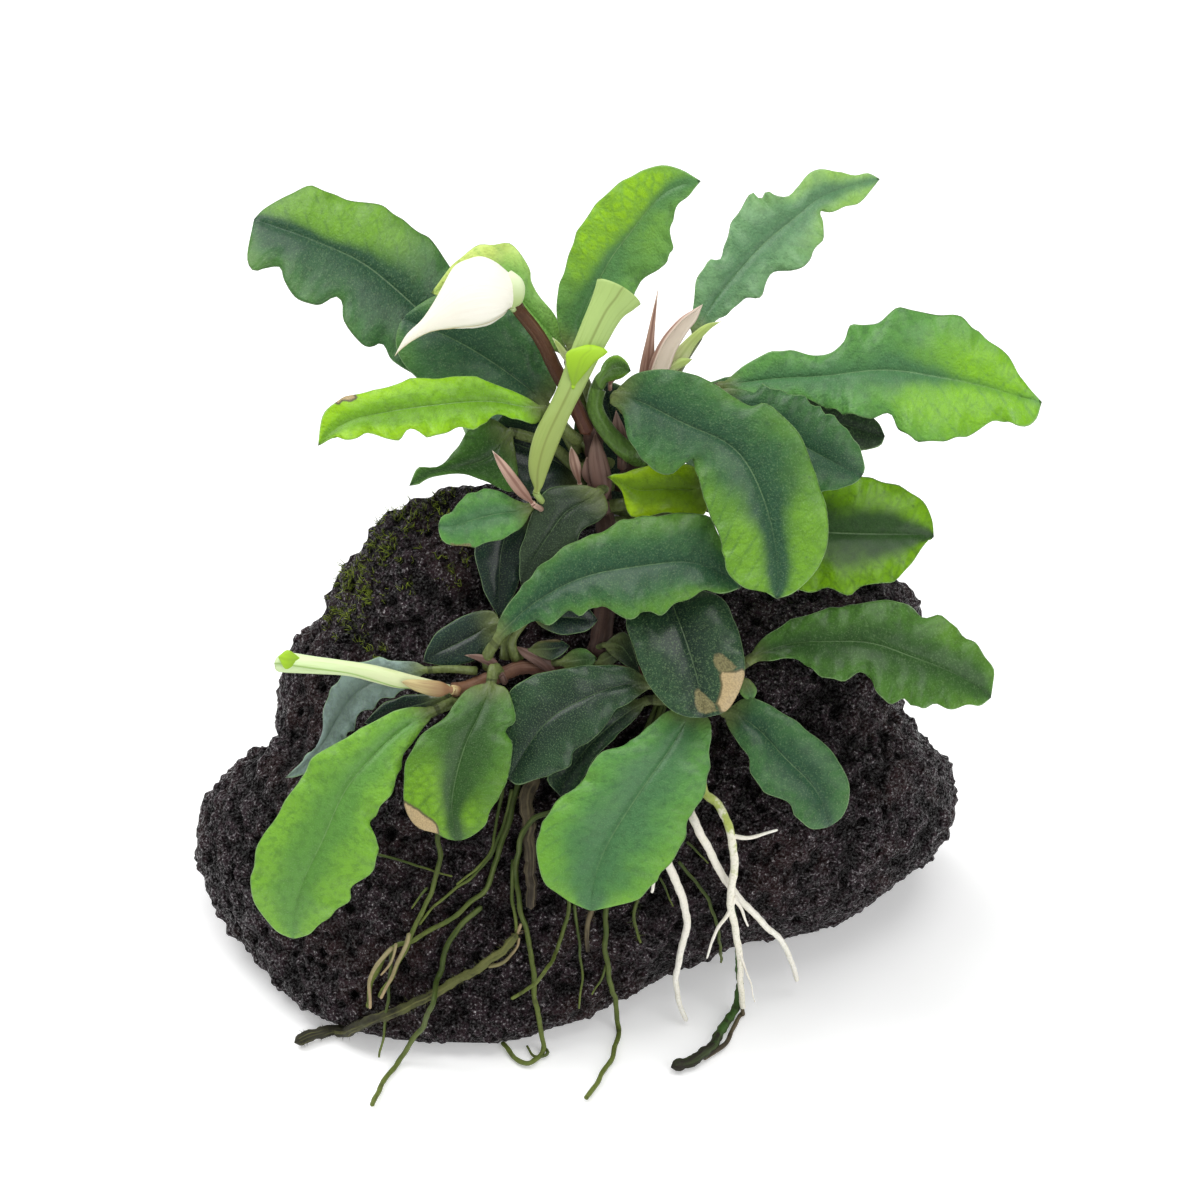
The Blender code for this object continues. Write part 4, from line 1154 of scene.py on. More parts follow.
def add_hairs(skin: Skin, roots: Array, tips: Array, thickness: Array, sag: Array,
              **values: Array) -> None:
    """Adds thin three-sided hairs, each closed.

    Args:
        skin: the mesh they are added to.
        roots: where each hair starts.
        tips: where it ends.
        thickness: its radius at the start.
        sag: how far its middle is moved aside.
        values: one value for each hair, by name.
    """
    ahead = unit(tips - roots)
    side = unit(np.cross(ahead, np.array((0.31, 0.77, 0.55))))
    up = np.cross(ahead, side)
    corners = []
    for middle, share in ((roots, 1.0), ((roots + tips) / 2 + sag, 0.7)):
        for angle in FULL_TURN * np.arange(3) / 3:
            across = side * math.cos(angle) + up * math.sin(angle)
            corners.append(middle + across * (thickness * share)[:, None])
    points = np.stack([*corners, tips], axis=1)
    count = points.shape[1]
    start = (np.arange(len(roots)) * count)[:, None, None]
    quads = np.array([(0, 1, 4, 3), (1, 2, 5, 4), (2, 0, 3, 5)])
    threes = np.array([(3, 4, 6), (4, 5, 6), (5, 3, 6), (2, 1, 0)])
    groups = [(start + shape).reshape(-1, shape.shape[1]) for shape in (quads, threes)]
    spread = {key: np.repeat(numbers, count, axis=0) for key, numbers in values.items()}
    skin.add(points.reshape(-1, 3), groups, **spread)


@dataclass(frozen=True)
class StrandFinish:
    """Skin of a root or stem: streaked along, blotched, with another colour towards its tip."""
    name: str
    base: Colour
    tip: Colour
    blotch: Colour
    streak: Colour
    blotches: float = 0.5
    streaks: float = 0.5
    change: tuple[float, float] = (0.3, 1.0)
    roughness: float = 0.5
    relief: float = 0.08

    def material(self) -> Material:
        """The finish as a material, which reads the values that Tube gives its points.

        Returns:
            The material.
        """
        g = Graph(self.name)
        grain = g.vector("grain")
        cloud = g.noise(grain, 2.2, 4.0, 0.6)
        fine = g.noise(grain, 0.35, 3.0, 0.6)
        lines = g.noise(g.stretch(grain, (3.0, 0.12, 3.0)), 1.0, 2.0)
        shift = g.value("along") + (cloud - 0.5) * 0.8
        colour = g.mix(g.rise(shift, *self.change), self.base, self.tip)
        colour = g.mix(g.rise(cloud, 0.5, 0.68) * self.blotches, colour, self.blotch)
        colour = g.mix(g.rise(lines, 0.48, 0.7) * self.streaks, colour, self.streak)
        colour = g.mix(g.rise(fine, 0.45, 0.75) * 0.35, colour, darker(self.base, 0.55))
        g.bump(fine + lines * 0.7, self.relief)
        g.shade(Specular_IOR_Level=0.25)
        return g.paint(colour, g.rise(cloud, 0.3, 0.7, self.roughness - 0.05, self.roughness + 0.12))


class StrandTone(Enum):
    """The roots and stems of the plant."""
    STEM = StrandFinish("stem_red_brown", (0.19, 0.095, 0.052), (0.13, 0.06, 0.04), (0.06, 0.025, 0.016),
        (0.28, 0.17, 0.11), 0.5, 0.5, (0.05, 0.3))
    BARK = StrandFinish("stem_dark_brown", (0.06, 0.032, 0.025), (0.085, 0.045, 0.034),
        (0.03, 0.015, 0.012), (0.15, 0.09, 0.065), 0.5, 0.5)
    STALK = StrandFinish("flower_stalk_red", (0.085, 0.036, 0.016), (0.085, 0.03, 0.018),
        (0.045, 0.016, 0.01), (0.17, 0.09, 0.05), 0.35, 0.6, roughness=0.4)
    IVORY = StrandFinish("root_white", (0.84, 0.8, 0.7), (0.92, 0.9, 0.82), (0.72, 0.68, 0.48),
        (0.78, 0.74, 0.6), 0.35, 0.3)
    IVORY_GREEN = StrandFinish("root_white_green", (0.42, 0.5, 0.12), (0.86, 0.83, 0.72), (0.7, 0.66, 0.46),
        (0.76, 0.72, 0.58), 0.3, 0.3, (0.33, 0.45))
    GREEN = StrandFinish("root_green", (0.045, 0.072, 0.012), (0.14, 0.18, 0.035), (0.03, 0.03, 0.012),
        (0.17, 0.21, 0.06), 0.6, 0.45)
    GREEN_BLACK = StrandFinish("root_green_black", (0.045, 0.11, 0.02), (0.02, 0.015, 0.012),
        (0.03, 0.04, 0.012), (0.1, 0.16, 0.05), 0.4, 0.4, (0.6, 0.8), 0.65)
    OLIVE = StrandFinish("root_olive", (0.11, 0.12, 0.035), (0.03, 0.028, 0.018), (0.02, 0.02, 0.012),
        (0.22, 0.22, 0.07), 0.7, 0.5, (0.2, 0.7), 0.65)
    PALE = StrandFinish("root_pale_brown", (0.22, 0.2, 0.09), (0.4, 0.3, 0.17), (0.12, 0.1, 0.05),
        (0.46, 0.38, 0.22), 0.6, 0.5, roughness=0.6)
    BROWN = StrandFinish("root_brown", (0.1, 0.08, 0.045), (0.035, 0.028, 0.02), (0.03, 0.024, 0.018),
        (0.22, 0.18, 0.1), 0.6, 0.5, roughness=0.65)


@dataclass
class Strand:
    """A root or stem: points of (column, row), which lie on the stone or floor, or with a near.

    wander is how far it strays from a smooth line, knobs how uneven its thickness is, and rings the
    spacing of the scars around a stem. hairs are short root hairs along it.
    """
    name: str
    path: Knots
    radius: float
    end_radius: float
    tone: StrandTone = StrandTone.GREEN
    around: int = 8
    step: float = 0.42
    wander: float = 0.18
    knobs: float = 0.07
    rings: float = 0.0
    flutes: int = 0
    hairs: int = 0
    hair_length: float = 0.7

    WANDER_LENGTH = 7.0
    KNOB_LENGTH = 2.4
    CALM = 1.5
    CLEARANCE = 0.12
    SOLID_GAP = 0.35
    HAIR_RADIUS = 0.035
    LOWEST_TIP = 0.05

    @property
    def seed(self) -> int:
        """Seed of this strand's own irregularities."""
        return SEED + sum(ord(letter) * (place + 5) for place, letter in enumerate(self.name))

    def route(self, ground: "Ground") -> Array:
        """The strand's middle line over the ground.

        Args:
            ground: the stone and floor that it lies on.

        Returns:
            Its points in millimetres.
        """
        widest = max(self.radius, self.end_radius)
        knots = [SIGHT.place(knot) if len(knot) > 2 else ground.rest_on(*knot, widest + self.SOLID_GAP)
                 for knot in self.path]
        line = through(knots)
        line = evenly(line, max(int(run_of(line)[-1] / self.step), 6))
        run = run_of(line)
        ends = step_up(run, 0.0, 2.0) * step_up(run[-1] - run, 0.0, 0.5)
        for axis in range(3):
            line[:, axis] += self.wander * ends * ripple(run, self.seed + axis, self.WANDER_LENGTH)
        line = np.array([ground.settle(point, widest + self.CLEARANCE) for point in line])
        return soften(line, self.CALM)

    def add_to(self, skin: Skin, ground: "Ground") -> None:
        """Adds the strand and its hairs to a mesh.

        Args:
            skin: the mesh.
            ground: the stone and floor that it lies on.
        """
        line = self.route(ground)
        run = run_of(line)
        share = run / run[-1]
        radii = self.radius + (self.end_radius - self.radius) * share
        radii = radii * (1.0 + self.knobs * ripple(run, self.seed + 11, self.KNOB_LENGTH))
        if self.rings:
            ring = np.abs((run / self.rings) % 1.0 - 0.5) * 2
            radii = radii * (1.0 + 0.16 * (ring - 0.5) * step_up(ring, 0.2, 1.0))
        Tube(line, radii, self.around, self.flutes).add_to(skin)
        if self.hairs:
            self.add_fuzz(skin, line, radii)

    def add_fuzz(self, skin: Skin, line: Array, radii: Array) -> None:
        """Adds the root hairs.

        Args:
            skin: the mesh they are added to.
            line: the strand's middle line.
            radii: its radius at each point of the line.
        """
        rng = np.random.default_rng(self.seed)
        at = rng.integers(1, len(line) - 1, self.hairs)
        ahead = unit(line[at + 1] - line[at - 1])
        out = unit(np.cross(ahead, rng.normal(size=(self.hairs, 3))))
        roots = line[at] + out * (radii[at] * 0.8)[:, None]
        length = self.hair_length * rng.uniform(0.4, 1.2, self.hairs)
        tips = roots + (out + 0.5 * ahead + 0.3 * rng.normal(size=(self.hairs, 3))) * length[:, None]
        tips[:, 2] = np.maximum(tips[:, 2], self.LOWEST_TIP)
        sag = rng.normal(size=(self.hairs, 3)) * 0.12 * length[:, None]
        run = run_of(line)
        add_hairs(skin, roots, tips, np.full(self.hairs, self.HAIR_RADIUS), sag,
                  along=(run / run[-1])[at], grain=run[at, None] * (0.0, 1.0, 0.0))

    def build(self, materials: dict[Enum, Material], ground: "Ground") -> Object:
        """Makes the strand's piece, as a bundle of one."""
        return Bundle(f"{self.name}_strand", self.name, [self], self.tone).build(materials, ground)


@dataclass
class Bundle:
    """Strands made as one piece, shown in a solid's stead if the first strand has that solid's name."""
    name: str
    like: str
    strands: list[Strand]
    tone: StrandTone = StrandTone.GREEN

    def build(self, materials: dict[Enum, Material], ground: "Ground") -> Object:
        """Makes the piece.

        Args:
            materials: the finishes by tone.
            ground: the stone and floor that the strands lie on.

        Returns:
            The new object.
        """
        skin = Skin()
        for strand in self.strands:
            strand.add_to(skin, ground)
        stands_for = self.strands[0].name == self.like
        return show(skin.mesh(self.name), materials[self.tone], self.like, stands_for)


@dataclass
class Ground:
    """What the roots lie on: the solid that lays them out, the finished stone, and the floor."""
    solid: BVHTree
    surface: BVHTree
    reach: float = 120.0
    depth: float = -60.0
    rounds: int = 3

    def sight_hit(self, tree: BVHTree, column: float, row: float) -> tuple:
        """Where a line of sight meets a surface, and its normal, or two times None."""
        start, end = (Vector(SIGHT.place((column, row, near)) * MM) for near in (self.reach, self.depth))
        return tree.ray_cast(start, end - start)[:2]

    def rest_on(self, column: float, row: float, clear: float) -> Array:
        """Point at a distance from the stone, or else from the floor, on a line of sight.

        Args:
            column: the picture's column.
            row: its row.
            clear: the distance in millimetres.

        Returns:
            The point in millimetres.
        """
        hit, _ = self.sight_hit(self.solid, column, row)
        if hit is None:
            return SIGHT.place((column, row, SIGHT.near_at_height(row, clear)))
        return np.array(hit) * PER_MM + SIGHT.to_viewer * clear

    def settle(self, point: Array, clear: float) -> Array:
        """The point, moved out of the stone and up off the floor.

        Args:
            point: the point in millimetres.
            clear: the distance that it keeps.

        Returns:
            The point in millimetres.
        """
        for _ in range(self.rounds):
            place = Vector(point * MM)
            nearest, normal, _, distance = self.surface.find_nearest(place)
            inside = (place - nearest).dot(normal) < 0
            if inside or distance < clear * MM:
                point = np.array(nearest + normal * (clear * MM)) * PER_MM
            point = np.array((point[0], point[1], max(point[2], clear)))
        return point


@dataclass(frozen=True)
class StoneFinish:
    """Damp black-brown lava: dull pores and hollows darkened by painted shade, glossy grains with painted
    highlights, and knob tops paler partly in their own colour and partly by painted highlight.
    """
    name: str = "lava_rock_black"
    # dark: painted shade, laid in the pits and in the hollows of the bump relief.
    dark: Colour = (0.0025, 0.0014, 0.0016)
    body: Colour = (0.033, 0.021, 0.026)
    # A paler colour on the knob tops, partly the stone's own and partly painted highlight.
    bloom_and_highlight: Colour = (0.16, 0.128, 0.150)
    rust: Colour = (0.036, 0.017, 0.016)
    # A painted highlight, set as bright specks on grains of the lumps.
    painted_glint: Colour = (0.50, 0.47, 0.48)

    def material(self) -> Material:
        """The finish as a material, which reads the relief that LavaStone gives its points.

        Returns:
            The material.
        """
        g = Graph(self.name)
        place = g.place_mm()
        cloud = g.noise(place, 9.0, 4.0, 0.6)
        lump = g.noise(place, 1.3, 4.0, 0.6)
        grit = g.noise(place, 0.34, 3.0, 0.7)
        knob = g.cells(place, 0.95)
        pore = g.cells(place, 0.6)
        # Painted shade: darkest where the lump noise is low, which is where the bump relief sinks.
        colour = g.mix(g.rise(lump, 0.40, 0.60), self.dark, self.body)
        # Paler knob tops: partly the stone's own colour, partly painted highlight.
        peak = g.rise(grit, 0.50, 0.66) * g.rise(knob, 0.15, 0.5, 1.0, 0.15)
        colour = g.mix(peak * 0.8, colour, self.bloom_and_highlight)
        colour = g.mix(g.rise(cloud, 0.46, 0.66) * 0.5, colour, self.rust)
        # Painted highlight: bright specks on grains of the lumps.
        painted_glint_share = g.rise(grit, 0.59, 0.66) * g.rise(lump, 0.44, 0.58, 0.1, 0.9)
        colour = g.mix(painted_glint_share, colour, self.painted_glint)
        # Painted shade in the pits, where the relief sinks below the plain form.
        colour = g.mix(g.rise(g.value("relief"), -0.9, 0.0, 1.0, 0.0), colour, self.dark)
        height = g.rise(knob, 0.0, 0.7, 1.0, 0.0) * 0.55 + lump + g.rise(pore, 0.1, 0.45) * 0.3
        g.bump(height + grit * 0.4, 1.1)
        g.shade(Specular_IOR_Level=g.rise(grit, 0.45, 0.62, 0.03, 0.8))
        return g.paint(colour, g.rise(grit, 0.45, 0.62, 0.6, 0.15))


def tree_of(thing: Object) -> BVHTree:
    """Search tree over an object's mesh, in metres."""
    corners = [corner.co for corner in thing.data.vertices]
    return BVHTree.FromPolygons(corners, [tuple(face.vertices) for face in thing.data.polygons])


@dataclass
class LavaStone:
    """The lava stone: the solid's own form, pitted and lumpy all over and flat where it rests.

    lumps holds a size and a height for each layer of knobs, and pits a size, a reach, a depth and a
    share of the places that have one for each layer of pits.
    """
    node: str = "lava_stone"
    voxel: float = 0.56
    calm_steps: int = 3
    splits: int = 2
    rest_height: float = 0.6
    swell: float = 0.45
    swell_size: float = 4.4
    lumps: tuple = ((2.9, 1.5), (1.45, 0.8))
    pits: tuple = ((5.2, 0.24, 1.6, 0.4), (3.0, 0.34, 1.3, 0.5), (1.8, 0.40, 0.9, 0.6))
    most_out: float = 0.8

    LUMP_MIDDLE = 0.42
    WELD = 1e-6

    def smooth_form(self) -> Mesh:
        """Rounds the solid's form between its faces.

        Returns:
            The form, cut into even small faces.
        """
        cage = bmesh.new()
        cage.from_mesh(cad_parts[self.node].data)
        bmesh.ops.remove_doubles(cage, verts=cage.verts, dist=self.WELD)
        mesh = bpy.data.meshes.new("stone_form")
        cage.to_mesh(mesh)
        cage.free()
        form = bpy.data.objects.new("stone_form", mesh)
        bpy.context.scene.collection.objects.link(form)
        split = form.modifiers.new("split", "SUBSURF")
        split.subdivision_type = "SIMPLE"
        split.levels = split.render_levels = self.splits
        form.modifiers.new("rounding", "SMOOTH").iterations = self.calm_steps
        grid = form.modifiers.new("grid", "REMESH")
        grid.mode = "VOXEL"
        grid.voxel_size = self.voxel * MM
        graph = bpy.context.evaluated_depsgraph_get()
        shaped = bpy.data.meshes.new_from_object(form.evaluated_get(graph))
        bpy.data.objects.remove(form)
        return shaped

    def relief_at(self, place: Vector) -> float:
        """How far the surface stands out of its plain form at a point.

        Args:
            place: the point in millimetres.

        Returns:
            Millimetres outward, below 0 in a pit.
        """
        out = self.swell * noise.noise(place / self.swell_size)
        for size, height in self.lumps:
            out += height * (self.LUMP_MIDDLE - noise.voronoi(place / size)[0][0])
        for size, reach, depth, share in self.pits:
            away, centres = noise.voronoi(place / size)
            if 0.5 + 0.5 * noise.cell(centres[0] * 7.7) < share and away[0] < reach:
                bowl = 1.0 - (away[0] / reach)**2
                out -= depth * bowl * math.sqrt(bowl)
        return min(out, self.most_out)

    def build(self, material: Material) -> Object:
        """Makes the stone.

        Args:
            material: its finish.

        Returns:
            The new object.
        """
        mesh = self.smooth_form()
        points, normals = np.empty((2, len(mesh.vertices) * 3), np.float32)
        mesh.vertices.foreach_get("co", points)
        mesh.vertices.foreach_get("normal", normals)
        points = points.reshape(-1, 3).astype(float) * PER_MM
        normals = normals.reshape(-1, 3).astype(float)
        relief = np.array([self.relief_at(Vector(point)) for point in points])
        relief = relief * step_up(points[:, 2], self.rest_height, 2.5 * self.rest_height)
        moved = points + normals * relief[:, None]
        moved[:, 2] = np.where(points[:, 2] < self.rest_height, 0.0, np.maximum(moved[:, 2], 0.0))
        mesh.vertices.foreach_set("co", (moved * MM).astype(np.float32).ravel())
        add_layer(mesh, "relief", relief)
        mesh.update()
        mesh.name = "lava_stone_rock"
        return show(mesh, material, self.node)


@dataclass(frozen=True)
class MossFinish:
    """Fine moss from dark to bright yellow-green."""
    name: str = "moss_green"
    dark: Colour = (0.05, 0.07, 0.012)
    bright: Colour = (0.36, 0.46, 0.05)

    def material(self) -> Material:
        """The finish as a material, which reads the tint of each strand.

        Returns:
            The material.
        """
        g = Graph(self.name)
        fine = g.noise(g.place_mm(), 0.3, 2.0)
        g.shade(Specular_IOR_Level=0.2)
        tint = g.value("tint") + (fine - 0.5) * 0.5
        return g.paint(g.mix(tint, self.dark, self.bright), g.rise(fine, 0.3, 0.7, 0.55, 0.75))


@dataclass
class Moss:
    """Moss in small tufts on the stone's shoulder, thick in the middle of each patch.

    patches holds the column and row of each patch, its reach in pixels and how many tufts it has.
    """
    patches: tuple = ((376, 546, 13, 46), (346, 580, 10, 44), (350, 615, 13, 34), (386, 516, 11, 24),
                      (436, 500, 14, 46), (456, 568, 12, 20), (376, 648, 9, 10), (398, 560, 22, 26),
                      (363, 598, 14, 30), (412, 512, 12, 22))
    strands_in_tuft: int = 6
    shortest: float = 0.4
    longest: float = 1.6
    thickness: float = 0.06

    def build(self, material: Material, ground: Ground) -> Object:
        """Makes the moss.

        Args:
            material: its finish.
            ground: the stone that it grows on.

        Returns:
            The new object.
        """
        rng = np.random.default_rng(SEED)
        roots, outs = [], []
        for column, row, reach, tufts in self.patches:
            for across, down in rng.normal(size=(tufts, 2)) * reach:
                hit, normal = ground.sight_hit(ground.surface, column + across, row + down)
                if hit is not None:
                    roots.append(np.array(hit) * PER_MM)
                    outs.append(np.array(normal))
        roots, outs = (np.repeat(np.array(part), self.strands_in_tuft, axis=0) for part in (roots, outs))
        count = len(roots)
        roots = roots + rng.normal(size=(count, 3)) * 0.16 - outs * 0.1
        length = rng.uniform(self.shortest, self.longest, count)
        lean = rng.normal(size=(count, 3)) * 0.55
        tips = roots + unit(outs + lean + np.array((0.0, 0.0, 0.3))) * length[:, None]
        sag = rng.normal(size=(count, 3)) * 0.1 * length[:, None]
        skin = Skin()
        add_hairs(skin, roots, tips, rng.uniform(0.6, 1.2, count) * self.thickness, sag,
                  tint=rng.uniform(0.0, 1.0, count)**1.5)
        return show(skin.mesh("moss_tufts"), material, "sheath_spear", False)


@dataclass
class Studio:
    """A white table under wide soft lamps, and the camera at the reference view.

    lamps holds the name, place, side and power of each lamp.
    """
    floor_side: float = 6.0
    floor_colour: Colour = (0.92, 0.92, 0.92)
    floor_glow: float = 0.3
    sky: float = 0.40
    lamps: tuple = (
        ("key_lamp", (-0.55, 0.35, 0.95), 0.8, 9.5),
        ("top_lamp", (0.20, -0.05, 1.10), 0.6, 4.2),
        ("front_lamp", (0.55, -0.75, 0.55), 0.7, 3.6))
    aim: tuple[float, float, float] = (0.0, 0.0, 0.045)
    clip: tuple[float, float] = (0.05, 20.0)

    def build(self) -> None:
        """Sets the table, the lamps, the surroundings and the camera."""
        bpy.ops.mesh.primitive_plane_add(size=self.floor_side)
        floor = bpy.context.active_object
        floor.name = "studio_floor"
        g = Graph("studio_white")
        g.shade(Specular_IOR_Level=0.1, Roughness=0.9, Base_Color=self.floor_colour,
                Emission_Color=self.floor_colour, Emission_Strength=self.floor_glow)
        floor.data.materials.append(g.material)
        scene = bpy.context.scene
        for name, place, side, power in self.lamps:
            lamp = bpy.data.lights.new(name, "AREA")
            lamp.shape = "SQUARE"
            lamp.size = side
            lamp.energy = power
            thing = bpy.data.objects.new(name, lamp)
            thing.location = place
            thing.rotation_euler = (Vector(place) - Vector(self.aim)).to_track_quat("Z", "Y").to_euler()
            scene.collection.objects.link(thing)
        scene.world = bpy.data.worlds.new("studio_surroundings")
        scene.world.use_nodes = True
        background = scene.world.node_tree.nodes["Background"].inputs
        background["Color"].default_value = (1.0, 1.0, 1.0, 1.0)
        background["Strength"].default_value = self.sky
        scene.view_settings.view_transform = "Standard"
        camera = bpy.data.cameras.new("reference_view")
        camera.lens = SIGHT.sensor * SIGHT.distance / SIGHT.width
        camera.sensor_width = SIGHT.sensor
        camera.clip_start, camera.clip_end = self.clip
        viewer = bpy.data.objects.new("reference_view", camera)
        middle = SIGHT.picture / 2
        viewer.location = SIGHT.place((middle, middle, 0.0)) * MM
        viewer.location += Vector(SIGHT.to_viewer) * (SIGHT.distance * MM)
        viewer.rotation_euler = (math.pi / 2 - SIGHT.elevation, 0.0, 0.0)
        scene.collection.objects.link(viewer)
        scene.camera = viewer


